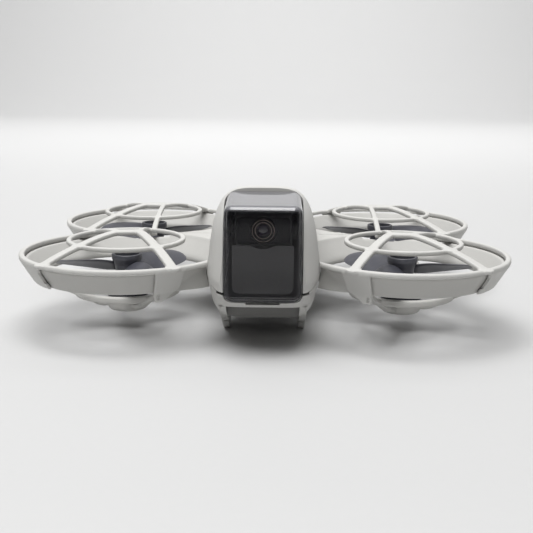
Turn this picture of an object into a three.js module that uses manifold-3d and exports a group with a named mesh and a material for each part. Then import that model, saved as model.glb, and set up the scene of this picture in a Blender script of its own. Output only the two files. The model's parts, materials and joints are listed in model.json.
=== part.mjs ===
// Small ducted camera quadcopter. Millimetres, +Z up, nose towards -Y, standing on Z = 0.
import * as THREE from 'three';
import { mergeVertices } from 'three/addons/utils/BufferGeometryUtils.js';
import Module from 'manifold-3d';

const wasm = await Module();
wasm.setup();

// ---- Driving dimensions -------------------------------------------------------------------
const CLEARANCE = 0.3;            // gap between separate pieces that touch
const SEGMENTS = 40;              // facets of a full ring

const BODY_LENGTH = 130;          // front cover face to battery face
const BODY_HALF_WIDTH = 17.5;
const BODY_TOP = 48.5;            // crown just behind the camera
const BELLY_HEIGHT = 6.5;         // underside above the floor
const BELT_HEIGHT = 22.5;         // parting line of the two shells
const TAIL_TOP = 33.2;            // top of the body at its rear end
const SHELL_WALL = 1.3;
const CAP_LENGTH = 7.7;           // battery end cap

const PROP_RADIUS = 25.5;
const PROP_PLANE = 20.4;          // mid height of the blades
const HUB_RADIUS = 4.9;
const HUB_TOP = 24.6;
const BELL_RADIUS = 7.0;
const BELL_TOP = 17.6;
const SHAFT_RADIUS = 0.75;

const TIP_CLEARANCE = 1.7;        // blade tip to duct throat
const DUCT_WALL = 1.1;
const DUCT_BOTTOM = 17.7;
const THROAT_TOP = 19.0;
const DUCT_TOP = 24.5;
const FLARE = 4.0;                // how far the duct mouth widens
const LIP_WIDTH = 1.8;
const LIP_TOP = 26.3;
const DUCT_GAP = 3.5;             // throat to the plane between front and rear ducts

const GUARD_RING_RADIUS = 19.0;
const GUARD_RING_WIDTH = 1.6;
const GUARD_RING_TOP = 29.9;
const GUARD_CROWN = 32.2;         // top of the spokes over the rotor axis
const SPOKE_WIDTH = 3.0;
const BACK_SPOKE_WIDTH = 1.9;
const SPOKE_THICKNESS = 1.5;
const SKIRT_WALL = 0.9;
const LEG_WIDTH = 6.4;
const LEG_BOTTOM = 15.2;

const MOUNT_RING_RADIUS = 17.1;
const MOUNT_RING_WIDTH = 1.7;
const MOUNT_RING_BOTTOM = 11.8;
const MOUNT_RING_HEIGHT = 2.3;
const MOUNT_ARM_THICKNESS = 1.6;
const MOUNT_BOSS_RADIUS = 6.5;
const MOUNT_BOSS_BOTTOM = 6.4;
const MOUNT_ARM_ANGLES = [-18, 72, 152, -124];

const CAMERA_RADIUS = 7.5;
const CAMERA_FLAT = 6.2;          // tilt axis to the flat front of the drum
const CAMERA_HALF_WIDTH = 8.3;
const LENS_RADIUS = 3.6;
const COVER_HALF_WIDTH = 11.3;
const COVER_WALL = 0.9;
const COVER_TOP = 47.2;
const COVER_BOTTOM = 16.9;

const BATTERY_HALF_WIDTH = 14.1;
const BATTERY_LENGTH = 56;
const BATTERY_BOTTOM = 8.4;
const BATTERY_TOP = 27.0;
const BATTERY_WALL = 0.9;

const FOOT_THICKNESS = 2.0;
const FOOT_SPREAD = 12.2;         // centre plane of each foot from the middle
const BUTTON_RADIUS = 4.2;
const BUTTON_PROUD = 0.25;
const BUTTON_HEIGHT = 3.4;

// ---- Derived places -----------------------------------------------------------------------
const FRONT = -BODY_LENGTH / 2;
const REAR = BODY_LENGTH / 2;
const SHELL_FRONT = FRONT + 3.5;
const SHELL_REAR = REAR - CAP_LENGTH;
const THROAT_RADIUS = PROP_RADIUS + TIP_CLEARANCE;
const MOUTH_RADIUS = THROAT_RADIUS + FLARE;
const LIP_RADIUS = MOUTH_RADIUS + LIP_WIDTH + 0.8;
const MOTOR_X = BODY_HALF_WIDTH + THROAT_RADIUS;
const MOTOR_Y = THROAT_RADIUS + DUCT_GAP;
const CAMERA_Y = SHELL_FRONT + 8.9;
const CAMERA_Z = COVER_TOP - COVER_WALL - CAMERA_RADIUS - 1.3;
const COVER_REAR = FRONT + 18.2;
const BATTERY_FRONT = SHELL_REAR - BATTERY_LENGTH;
const STATOR_BASE = MOUNT_RING_BOTTOM - 2.1;

// ---- Colours ------------------------------------------------------------------------------
const finish = (color, roughness, metalness = 0, opacity = 1) =>
  new THREE.MeshStandardMaterial({ color, roughness, metalness, opacity, transparent: opacity < 1 });
const LIGHT_GREY = finish(0xc9c8c4, 0.55);
const MID_GREY = finish(0xa9a8a3, 0.6);
const DARK_GREY = finish(0x4b4b50, 0.55);
const BLACK = finish(0x141416, 0.45);
const GLOSS_BLACK = finish(0x08080a, 0.12);
const CLEAR = finish(0x5a5a62, 0.05, 0, 0.35);
const GLASS = finish(0x1a1626, 0.03);
const STEEL = finish(0xb8b8bc, 0.35, 1);
const COPPER = finish(0xb06a3a, 0.45, 1);
const BOARD_GREEN = finish(0x1f4a34, 0.6);
const GOLD = finish(0xd8b25a, 0.3, 1);
const LAMP = finish(0xe8f0e8, 0.4);
const RUBBER = finish(0x3a3a3c, 0.85);

// ---- Solids -------------------------------------------------------------------------------
function solid(geometry) {
  const bare = new THREE.BufferGeometry();
  bare.setAttribute('position', geometry.getAttribute('position'));
  if (geometry.index) bare.setIndex(geometry.index);
  const merged = mergeVertices(bare, 1e-4);
  return new wasm.Manifold(new wasm.Mesh({
    numProp: 3,
    vertProperties: new Float32Array(merged.attributes.position.array),
    triVerts: new Uint32Array(merged.index.array),
  }));
}

function surface(body) {
  const mesh = body.getMesh();
  const geometry = new THREE.BufferGeometry();
  geometry.setAttribute('position', new THREE.BufferAttribute(mesh.vertProperties, 3));
  geometry.setIndex(new THREE.BufferAttribute(mesh.triVerts, 1));
  const flat = geometry.toNonIndexed();
  flat.computeVertexNormals();
  return flat;
}

const join = (...bodies) => bodies.reduce((sum, body) => sum.add(body));

function box(x0, x1, y0, y1, z0, z1) {
  const geometry = new THREE.BoxGeometry(x1 - x0, y1 - y0, z1 - z0);
  geometry.translate((x0 + x1) / 2, (y0 + y1) / 2, (z0 + z1) / 2);
  return solid(geometry);
}

// A solid of revolution about Z from [radius, height] corners given anticlockwise.
function turned(profile, segments = SEGMENTS) {
  const closed = [...profile, profile[0]].map(([r, z]) => new THREE.Vector2(r, z));
  const geometry = new THREE.LatheGeometry(closed, segments);
  geometry.rotateX(Math.PI / 2);
  return solid(geometry);
}

const disc = (radius, z0, z1, segments = 20) =>
  turned([[0, z0], [radius, z0], [radius, z1], [0, z1]], segments);

const tube = (inner, outer, z0, z1, segments = SEGMENTS) =>
  turned([[inner, z0], [outer, z0], [outer, z1], [inner, z1]], segments);

// An outline in X and Y pushed up from z0 to z1.
function plate(outline, z0, z1) {
  const shape = new THREE.Shape(outline.map(([x, y]) => new THREE.Vector2(x, y)));
  const geometry = new THREE.ExtrudeGeometry(shape, { depth: z1 - z0, bevelEnabled: false });
  geometry.translate(0, 0, z0);
  return solid(geometry);
}

// An outline in Y and Z pushed along X from x0 to x1.
function slab(outline, x0, x1) {
  const shape = new THREE.Shape(outline.map(([y, z]) => new THREE.Vector2(y, z)));
  const geometry = new THREE.ExtrudeGeometry(shape, { depth: x1 - x0, bevelEnabled: false });
  geometry.rotateX(Math.PI / 2);
  geometry.rotateZ(Math.PI / 2);
  geometry.translate(x0, 0, 0);
  return solid(geometry);
}

// A block with its four upright edges rounded.
function roundedBox(x0, x1, y0, y1, z0, z1, radius, steps = 4) {
  const shape = new THREE.Shape();
  shape.absarc(x1 - radius, y1 - radius, radius, 0, Math.PI / 2);
  shape.absarc(x0 + radius, y1 - radius, radius, Math.PI / 2, Math.PI);
  shape.absarc(x0 + radius, y0 + radius, radius, Math.PI, 1.5 * Math.PI);
  shape.absarc(x1 - radius, y0 + radius, radius, 1.5 * Math.PI, 2 * Math.PI);
  const geometry = new THREE.ExtrudeGeometry(shape, {
    depth: z1 - z0, bevelEnabled: false, curveSegments: steps,
  });
  geometry.translate(0, 0, z0);
  return solid(geometry);
}

// Rings of points, each the same count, joined into one closed skin with flat ends.
function skin(rings) {
  const count = rings[0].length;
  const positions = rings.flat(2);
  const faces = [];
  for (let i = 0; i + 1 < rings.length; i++) {
    for (let j = 0; j < count; j++) {
      const a = i * count + j;
      const b = i * count + (j + 1) % count;
      faces.push(a, b, a + count, b, b + count, a + count);
    }
  }
  for (const [ring, flip] of [[0, true], [rings.length - 1, false]]) {
    const flat = THREE.ShapeUtils.triangulateShape(flatten(rings[ring]), []);
    for (const [a, b, c] of flat) {
      const corners = [a, b, c].map((n) => n + ring * count);
      faces.push(...(flip ? corners.reverse() : corners));
    }
  }
  const geometry = new THREE.BufferGeometry();
  geometry.setAttribute('position', new THREE.Float32BufferAttribute(positions, 3));
  geometry.setIndex(faces);
  const body = solid(geometry);
  if (body.volume() > 0) return body;
  geometry.setIndex(faces.map((_, n) => faces[n - (n % 3) + [0, 2, 1][n % 3]]));
  return solid(geometry);
}

// A planar ring seen in its own plane, for triangulation.
function flatten(ring) {
  const points = ring.map((p) => new THREE.Vector3(...p));
  const centre = points.reduce((sum, p) => sum.add(p), new THREE.Vector3()).divideScalar(points.length);
  const normal = new THREE.Vector3();
  points.forEach((p, n) => {
    const next = points[(n + 1) % points.length];
    normal.add(p.clone().sub(centre).cross(next.clone().sub(centre)));
  });
  const along = points[0].clone().sub(centre).normalize();
  const across = normal.normalize().clone().cross(along);
  return points.map((point) => {
    const offset = point.clone().sub(centre);
    return new THREE.Vector2(offset.dot(along), offset.dot(across));
  });
}

// A flat strap that follows a path, its width level and its thickness upright.
function strap(path, width, thickness) {
  const rings = path.map(([x, y, z], n) => {
    const [ax, ay] = path[Math.max(n - 1, 0)];
    const [bx, by] = path[Math.min(n + 1, path.length - 1)];
    const length = Math.hypot(bx - ax, by - ay);
    const sx = (-(by - ay) / length) * (width / 2);
    const sy = ((bx - ax) / length) * (width / 2);
    const half = thickness / 2;
    return [
      [x + sx, y + sy, z - half], [x - sx, y - sy, z - half],
      [x - sx, y - sy, z + half], [x + sx, y + sy, z + half],
    ];
  });
  return skin(rings);
}

// A wedge of directions, in degrees from +X, reaching out past every ring.
function wedge(from, to, z0, z1) {
  const reach = 3 * LIP_RADIUS;
  const steps = Math.max(2, Math.ceil((to - from) / 40));
  const outline = [[0, 0]];
  for (let n = 0; n <= steps; n++) {
    const angle = THREE.MathUtils.degToRad(from + ((to - from) * n) / steps);
    outline.push([reach * Math.cos(angle), reach * Math.sin(angle)]);
  }
  return plate(outline, z0, z1);
}

// ---- The body's outer form ----------------------------------------------------------------
// Each station is [y, half width, top, bottom].
const middle = (share) => THREE.MathUtils.lerp(FRONT + 27, REAR - 30, share);
const slope = (share) => THREE.MathUtils.lerp(BODY_TOP - 0.6, TAIL_TOP + 4.2, share);
const STATIONS = [
  [SHELL_FRONT, BODY_HALF_WIDTH - 5.0, COVER_TOP - 3.5, COVER_BOTTOM - 0.4],
  [FRONT + 6, BODY_HALF_WIDTH - 3.1, COVER_TOP - 1.6, BELLY_HEIGHT + 8.1],
  [FRONT + 10, BODY_HALF_WIDTH - 1.5, COVER_TOP - 0.4, BELLY_HEIGHT + 5.0],
  [FRONT + 15, BODY_HALF_WIDTH - 0.5, BODY_TOP - 0.7, BELLY_HEIGHT + 2.6],
  [FRONT + 21, BODY_HALF_WIDTH, BODY_TOP, BELLY_HEIGHT + 1.0],
  [FRONT + 27, BODY_HALF_WIDTH, slope(0), BELLY_HEIGHT + 0.2],
  [middle(0.15), BODY_HALF_WIDTH, slope(0.13), BELLY_HEIGHT],
  [middle(0.4), BODY_HALF_WIDTH, slope(0.37), BELLY_HEIGHT],
  [middle(0.7), BODY_HALF_WIDTH, slope(0.69), BELLY_HEIGHT],
  [REAR - 30, BODY_HALF_WIDTH - 0.2, TAIL_TOP + 4.2, BELLY_HEIGHT],
  [REAR - 15, BODY_HALF_WIDTH - 0.7, TAIL_TOP + 1.3, BELLY_HEIGHT + 0.3],
  [SHELL_REAR, BODY_HALF_WIDTH - 1.2, TAIL_TOP, BELLY_HEIGHT + 0.9],
];
const UPPER_TAPER = 0.11;
const LOWER_TAPER = 0.2;

function section([y, halfWidth, top, bottom], inset = 0, quarter = 6) {
  const points = [];
  for (let n = 0; n < 4 * quarter; n++) {
    const angle = (n / (4 * quarter)) * 2 * Math.PI;
    const upper = Math.sin(angle) >= -1e-9;
    const power = 2 / (upper ? 4.5 : 6);
    const height = upper ? top - inset - BELT_HEIGHT : BELT_HEIGHT - bottom - inset;
    const rise = height * Math.abs(Math.sin(angle)) ** power;
    const reach = halfWidth - inset - rise * (upper ? UPPER_TAPER : LOWER_TAPER);
    const x = reach * Math.sign(Math.cos(angle)) * Math.abs(Math.cos(angle)) ** power;
    points.push([x, y, BELT_HEIGHT + (upper ? rise : -rise)]);
  }
  return points;
}

const bodyForm = (inset, stations = STATIONS) => skin(stations.map((s) => section(s, inset)));
const shiftedStation = (station, y) => [y, ...station.slice(1)];
const outerBody = bodyForm(0);
const bodyKeepOut = bodyForm(-CLEARANCE);
const innerBody = bodyForm(SHELL_WALL, [
  shiftedStation(STATIONS[0], SHELL_FRONT + 1.6),
  ...STATIONS.slice(1, -1),
  shiftedStation(STATIONS.at(-1), SHELL_REAR - 1.6),
]);
const batteryBay = box(-BATTERY_HALF_WIDTH - CLEARANCE, BATTERY_HALF_WIDTH + CLEARANCE,
  BATTERY_FRONT - 1, SHELL_REAR + 5, BATTERY_BOTTOM - CLEARANCE, BATTERY_TOP + CLEARANCE);
const coverBay = box(-COVER_HALF_WIDTH - CLEARANCE, COVER_HALF_WIDTH + CLEARANCE,
  FRONT - 1, COVER_REAR + CLEARANCE, COVER_BOTTOM - CLEARANCE, BODY_TOP + 5);

// Everything under the parting line, which dips towards the nose.
function belowBelt(gap) {
  return slab([
    [FRONT - 5, -5], [REAR + 5, -5], [REAR + 5, BELT_HEIGHT - gap], [FRONT + 17, BELT_HEIGHT - gap],
    [FRONT + 5, BELT_HEIGHT - 2.9 - gap], [FRONT - 5, BELT_HEIGHT - 2.9 - gap],
  ], -3 * BODY_HALF_WIDTH, 3 * BODY_HALF_WIDTH);
}

const BUTTONS = {
  power_button: { y: REAR - 43, radius: BUTTON_RADIUS },
  mode_button: { y: FRONT + 54, radius: BUTTON_RADIUS - 0.6 },
};
// Height of the body's crown at a place along it.
function crownHeight(y) {
  const after = STATIONS.findIndex((s) => s[0] >= y);
  const [y0, , z0] = STATIONS[after - 1];
  const [y1, , z1] = STATIONS[after];
  return THREE.MathUtils.mapLinear(y, y0, y1, z0, z1);
}

const shell = outerBody.subtract(innerBody).subtract(batteryBay);
const drop = (x, y, body) => body.translate([x, y, 0]);

// Small lamps shine through the crown: a row behind the power button, an arc around the mode button.
const LAMP_RADIUS = 0.7;
const LAMP_PITCH = 3.2;
const ARC_RADIUS = BUTTON_RADIUS + 3.2;
const rowOfLamps = [-1.5, -0.5, 0.5, 1.5].map((n) =>
  [n * LAMP_PITCH, BUTTONS.power_button.y + BUTTON_RADIUS + 4]);
const arcOfLamps = [200, 156, 112, 68, 24, -20].map((degrees) => {
  const angle = THREE.MathUtils.degToRad(degrees);
  return [ARC_RADIUS * Math.cos(angle), BUTTONS.mode_button.y - ARC_RADIUS * Math.sin(angle)];
});

function upperShell() {
  let body = shell.subtract(belowBelt(0)).subtract(coverBay);
  for (const { y, radius } of Object.values(BUTTONS)) {
    const hole = disc(radius + CLEARANCE, crownHeight(y) - 9, crownHeight(y) + 5);
    body = body.subtract(drop(0, y, hole));
  }
  for (const [x, y] of [...rowOfLamps, ...arcOfLamps]) {
    body = body.subtract(drop(x, y, disc(LAMP_RADIUS + CLEARANCE, BELT_HEIGHT + 5, BODY_TOP + 5, 8)));
  }
  return body;
}

const SENSOR = { x: 9.5, y0: FRONT + 29, y1: FRONT + 45 };
const VENT = { count: 6, pitch: 3.4, width: 1.5, halfLength: 5.5, y: FRONT + 50 };
const SCREW_PLACES = [
  [-BODY_HALF_WIDTH + 6.6, FRONT + 25], [BODY_HALF_WIDTH - 6.6, FRONT + 25],
  [-BODY_HALF_WIDTH + 6.6, FRONT + 47], [BODY_HALF_WIDTH - 6.6, FRONT + 47],
];
const SCREW_HEAD = 1.5;
const USB = { y: BATTERY_FRONT - 6.3, halfLength: 4.6, halfHeight: 1.7, z: BELT_HEIGHT - 5.5 };

const FOOT_OUTLINES = [
  [[FRONT + 7.2, BELLY_HEIGHT + 8], [FRONT + 34, 0], [FRONT + 39, 0], [FRONT + 43, BELLY_HEIGHT + 0.8],
    [FRONT + 30, BELLY_HEIGHT + 0.8]],
  [[REAR - 31, BELLY_HEIGHT + 0.8], [REAR - 26, 0], [REAR - 21, 0], [REAR - 12, BELLY_HEIGHT + 1.6]],
];
function feet() {
  const places = [FOOT_SPREAD, -FOOT_SPREAD].map((x) => x - FOOT_THICKNESS / 2);
  const fins = FOOT_OUTLINES.flatMap((outline) => places.map((x) => slab(outline, x, x + FOOT_THICKNESS)));
  return join(...fins).subtract(innerBody).subtract(batteryBay);
}

function lowerShell() {
  let body = shell.intersect(belowBelt(CLEARANCE)).add(feet()).subtract(coverBay);
  const sensorCut = box(-SENSOR.x - CLEARANCE, SENSOR.x + CLEARANCE, SENSOR.y0 - CLEARANCE,
    SENSOR.y1 + CLEARANCE, BELLY_HEIGHT - 2, BELLY_HEIGHT + SHELL_WALL + 2);
  body = body.subtract(sensorCut);
  for (let n = 0; n < VENT.count; n++) {
    const y = VENT.y + n * VENT.pitch;
    body = body.subtract(box(-VENT.halfLength, VENT.halfLength, y, y + VENT.width,
      BELLY_HEIGHT - 2, BELLY_HEIGHT + SHELL_WALL + 1));
  }
  for (const [x, y] of SCREW_PLACES) {
    body = body.subtract(drop(x, y, disc(SCREW_HEAD + CLEARANCE, BELLY_HEIGHT - 2, BELLY_HEIGHT + 5, 12)));
  }
  const portLength = USB.halfLength + CLEARANCE;
  const portHeight = USB.halfHeight + CLEARANCE;
  const port = box(BODY_HALF_WIDTH - 5, BODY_HALF_WIDTH + 3, USB.y - portLength, USB.y + portLength,
    USB.z - portHeight, USB.z + portHeight);
  return body.subtract(port);
}

// ---- Ducts: each in its own frame, +X outwards, +Y towards the gap between front and rear ---
const OUTER_THROAT = THROAT_RADIUS + DUCT_WALL;
const OUTER_MOUTH = MOUTH_RADIUS + DUCT_WALL;
const RIDGE_TOP = LIP_TOP - 0.3;
const MIRROR_GAP = CLEARANCE / 2;
const LEG_ANGLE = { frontOut: -51, backOut: 52, frontIn: -124 };
const LEG_TURN = 4.5;             // how far the inner front leg stands off its spoke
const betweenDucts = box(-90, 90, MOTOR_Y - MIRROR_GAP, 120, -5, 60);
const DECK_INNER = -MOTOR_X;
const DECK_OUTER = -MOTOR_X + BODY_HALF_WIDTH + 17;
// The body seen from a duct of the front pair, and of the rear pair.
const bodyFrom = {
  front: bodyKeepOut.translate([-MOTOR_X, MOTOR_Y, 0]),
  rear: bodyKeepOut.mirror([0, 1, 0]).translate([-MOTOR_X, MOTOR_Y, 0]),
};

function airPath() {
  return turned([[0, DUCT_BOTTOM - 20], [THROAT_RADIUS, DUCT_BOTTOM - 20], [THROAT_RADIUS, THROAT_TOP],
    [MOUTH_RADIUS, DUCT_TOP], [MOUTH_RADIUS + 1.1, RIDGE_TOP + 0.1], [MOUTH_RADIUS + 1.1, 60], [0, 60]]);
}

// Where the wall meets the body its foot swells out until it stands upright.
function fairing() {
  const outer = [0, 0.25, 0.5, 0.75, 1].map((share) =>
    polar(THREE.MathUtils.lerp(OUTER_THROAT + 0.2, OUTER_MOUTH + 0.5, share ** 0.8), -128 - 22 * share));
  const inner = [1, 0.5, 0].map((share) => polar(THROAT_RADIUS + DUCT_WALL / 2, -128 - 22 * share));
  const atBody = [[DECK_INNER, outer[4][1]], [DECK_INNER, inner[0][1]]];
  return plate([...outer, ...atBody, ...inner], DUCT_BOTTOM, DUCT_TOP);
}

function ductFrame(pair) {
  const wall = turned([
    [THROAT_RADIUS, DUCT_BOTTOM], [OUTER_THROAT, DUCT_BOTTOM], [OUTER_MOUTH, DUCT_TOP],
    [MOUTH_RADIUS, DUCT_TOP], [THROAT_RADIUS, THROAT_TOP]]);
  const deck = plate([[DECK_INNER, 6], [DECK_OUTER, 6], [DECK_OUTER, MOTOR_Y], [DECK_INNER, MOTOR_Y]],
    DUCT_BOTTOM, RIDGE_TOP);
  return join(wall, deck.subtract(airPath()), fairing().subtract(airPath()))
    .subtract(betweenDucts).subtract(bodyFrom[pair]);
}

// Points along a guard spoke: over the rotor, across the ring, and down to the lip.
const HUB_OUT = [2.8, 0];
const HUB_IN = [-4.0, 1.0];
const polar = (radius, degrees) => {
  const angle = THREE.MathUtils.degToRad(degrees);
  return [radius * Math.cos(angle), radius * Math.sin(angle)];
};
function spokePath(start, end, lipEnd) {
  const half = SPOKE_THICKNESS / 2;
  const ringAt = GUARD_RING_RADIUS - GUARD_RING_WIDTH / 2;
  const reach = Math.hypot(...end);
  return [0, 0.3, 0.55, 0.8, 1].map((share) => {
    const x = THREE.MathUtils.lerp(start[0], end[0], share);
    const y = THREE.MathUtils.lerp(start[1], end[1], share);
    const radius = Math.hypot(x, y);
    const dome = radius < ringAt
      ? GUARD_CROWN - (GUARD_CROWN - GUARD_RING_TOP) * (radius / ringAt) ** 2
      : GUARD_RING_TOP - (GUARD_RING_TOP - lipEnd) * ((radius - ringAt) / (reach - ringAt)) ** 1.3;
    return [x, y, dome - half];
  });
}

// The space of the inner front leg, which narrows towards its foot.
function legForm() {
  const top = LEG_WIDTH / 2;
  const foot = LEG_WIDTH * 0.3;
  const outline = [[-foot, LEG_BOTTOM], [foot, LEG_BOTTOM], [top, DUCT_TOP], [top, LIP_TOP + 5],
    [-top, LIP_TOP + 5], [-top, DUCT_TOP]];
  return slab(outline, OUTER_THROAT - 3, LIP_RADIUS + 3).rotate([0, 0, LEG_ANGLE.frontIn + LEG_TURN]);
}

function propGuard(pair) {
  const lip = turned([
    [LIP_RADIUS - LIP_WIDTH, DUCT_TOP + CLEARANCE], [LIP_RADIUS, DUCT_TOP + CLEARANCE],
    [LIP_RADIUS, LIP_TOP - 0.5], [LIP_RADIUS - 0.5, LIP_TOP], [LIP_RADIUS - LIP_WIDTH, LIP_TOP]]);
  const offset = CLEARANCE + 0.1;
  const slant = (OUTER_MOUTH - OUTER_THROAT) / (DUCT_TOP - DUCT_BOTTOM);
  const skirt = turned([
    [OUTER_THROAT + offset, DUCT_BOTTOM], [OUTER_THROAT + offset, LEG_BOTTOM],
    [OUTER_THROAT + offset + SKIRT_WALL, LEG_BOTTOM], [OUTER_THROAT + offset + SKIRT_WALL, DUCT_BOTTOM],
    [LIP_RADIUS, DUCT_TOP + CLEARANCE], [LIP_RADIUS, DUCT_TOP + 2 * CLEARANCE],
    [LIP_RADIUS - LIP_WIDTH, DUCT_TOP + 2 * CLEARANCE],
    [LIP_RADIUS - LIP_WIDTH, DUCT_TOP + CLEARANCE],
    [OUTER_THROAT + offset + slant * (DUCT_TOP + CLEARANCE - DUCT_BOTTOM), DUCT_TOP + CLEARANCE]]);
  const sides = wedge(LEG_ANGLE.frontOut - 2, 68, DUCT_BOTTOM, 60).add(legForm());
  const ring = tube(GUARD_RING_RADIUS - GUARD_RING_WIDTH, GUARD_RING_RADIUS,
    GUARD_RING_TOP - SPOKE_THICKNESS, GUARD_RING_TOP, 32);
  const reach = LIP_RADIUS - LIP_WIDTH / 2 - 0.3;
  const straps = [
    [HUB_OUT, polar(reach, LEG_ANGLE.frontOut), SPOKE_WIDTH],
    [HUB_OUT, polar(reach, LEG_ANGLE.backOut), SPOKE_WIDTH],
    [HUB_IN, polar(reach, LEG_ANGLE.frontIn), SPOKE_WIDTH],
    [HUB_IN, [HUB_IN[0], MOTOR_Y - 0.4], BACK_SPOKE_WIDTH],
  ].map(([start, end, width]) => strap(spokePath(start, end, LIP_TOP), width, SPOKE_THICKNESS));
  const bridgeHeight = GUARD_CROWN - SPOKE_THICKNESS / 2 - 0.05;
  const bridgeEnds = [
    [HUB_IN[0] - 1.2, HUB_IN[1], bridgeHeight],
    [HUB_OUT[0] + 1.2, HUB_OUT[1], bridgeHeight],
  ];
  const bridge = strap(bridgeEnds, SPOKE_WIDTH + 1.2, SPOKE_THICKNESS);
  // The lip stops where the deck begins, or sooner where its inner edge meets the next duct's plane.
  const lipInner = LIP_RADIUS - LIP_WIDTH;
  const lipEndX = 0.5 - Math.sqrt(Math.max(lipInner ** 2 - (MOTOR_Y - MIRROR_GAP) ** 2, 0));
  const deckSide = box(-90, Math.max(DECK_OUTER + 1.5, lipEndX), 4, 120, 0,
    GUARD_RING_TOP - SPOKE_THICKNESS - 0.8);
  const slot = box(OUTER_THROAT - 3, LIP_RADIUS + 3, -0.35, 0.35, DUCT_TOP - 4.7, DUCT_TOP - 0.9)
    .rotate([0, 0, LEG_ANGLE.frontOut + 0.6]);
  const hole = box(OUTER_THROAT - 3, LIP_RADIUS, -0.5, 0.5, LEG_BOTTOM + 0.7, LEG_BOTTOM + 2.3)
    .rotate([0, 0, LEG_ANGLE.frontIn + LEG_TURN]);
  const rim = lip.add(skirt.intersect(sides)).subtract(deckSide).subtract(slot).subtract(hole);
  return join(rim, ring, bridge, ...straps).subtract(betweenDucts).subtract(bodyFrom[pair]);
}

function motorMount(pair) {
  const top = MOUNT_RING_BOTTOM + MOUNT_RING_HEIGHT;
  const ring = tube(MOUNT_RING_RADIUS - MOUNT_RING_WIDTH, MOUNT_RING_RADIUS, MOUNT_RING_BOTTOM, top, 32);
  const bossTop = STATOR_BASE - CLEARANCE;
  const boss = turned([[0, MOUNT_BOSS_BOTTOM], [MOUNT_BOSS_RADIUS - 1.2, MOUNT_BOSS_BOTTOM],
    [MOUNT_BOSS_RADIUS, MOUNT_BOSS_BOTTOM + 1.4], [MOUNT_BOSS_RADIUS, bossTop], [0, bossTop]], 20);
  const half = MOUNT_ARM_THICKNESS / 2;
  const ringMiddle = MOUNT_RING_RADIUS - MOUNT_RING_WIDTH / 2;
  const wallMiddle = THROAT_RADIUS + DUCT_WALL / 2;
  const arms = MOUNT_ARM_ANGLES.map((angle) => {
    const high = [wallMiddle, DUCT_BOTTOM - CLEARANCE - half];
    const along = [[MOUNT_BOSS_RADIUS - 1.5, bossTop - half], [BELL_RADIUS + 0.5, bossTop - half],
      [ringMiddle, MOUNT_RING_BOTTOM + half], [wallMiddle - 2.5, high[1] - 0.3], high];
    return strap(along.map(([r, z]) => [...polar(r, angle), z]), 3.0, MOUNT_ARM_THICKNESS);
  });
  return join(ring, boss, ...arms).subtract(betweenDucts).subtract(bodyFrom[pair]);
}

// ---- Motor and propeller, in the duct's frame -------------------------------------------------
const PROP_SCREW = { x: 2.5, radius: 0.8 };
function stator() {
  const base = disc(BELL_RADIUS - 0.4, STATOR_BASE, STATOR_BASE + 1.0);
  const post = disc(2.2, STATOR_BASE, BELL_TOP - 2.4, 9);
  const bore = disc(SHAFT_RADIUS + CLEARANCE, STATOR_BASE - 1, BELL_TOP, 8);
  const poles = [];
  const poleCount = 9;
  for (let n = 0; n < poleCount; n++) {
    const tooth = box(1.8, BELL_RADIUS - 1.6, -0.9, 0.9, STATOR_BASE + 2.4, BELL_TOP - 2.6);
    poles.push(tooth.rotate([0, 0, (360 * n) / poleCount]));
  }
  return join(base, post, ...poles).subtract(bore);
}

function motorBell() {
  const bottom = STATOR_BASE + 1.0 + CLEARANCE + 0.3;
  const cup = turned([
    [0, BELL_TOP - 1.0], [BELL_RADIUS - 0.9, BELL_TOP - 1.0], [BELL_RADIUS - 0.9, bottom],
    [BELL_RADIUS, bottom], [BELL_RADIUS, BELL_TOP - 0.6], [BELL_RADIUS - 0.6, BELL_TOP], [0, BELL_TOP]], 20);
  const shaft = disc(SHAFT_RADIUS, STATOR_BASE + 0.4, BELL_TOP - 0.5, 8);
  const screws = [-1, 1].map((side) =>
    drop(side * PROP_SCREW.x, 0, disc(PROP_SCREW.radius, BELL_TOP - 0.5, HUB_TOP - 0.9, 8)));
  return join(cup, shaft, ...screws);
}

const BLADE_COUNT = 3;
const BLADE_PHASE = 8;
// Radius share, chord, pitch in degrees and thickness along a blade.
const BLADE_STATIONS = [
  [0.13, 5.6, 36, 1.5], [0.28, 8.2, 34, 1.3], [0.45, 10.2, 29, 1.1],
  [0.65, 10.6, 24, 0.9], [0.85, 9.4, 20.5, 0.8], [1, 6.4, 18, 0.7],
];

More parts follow.
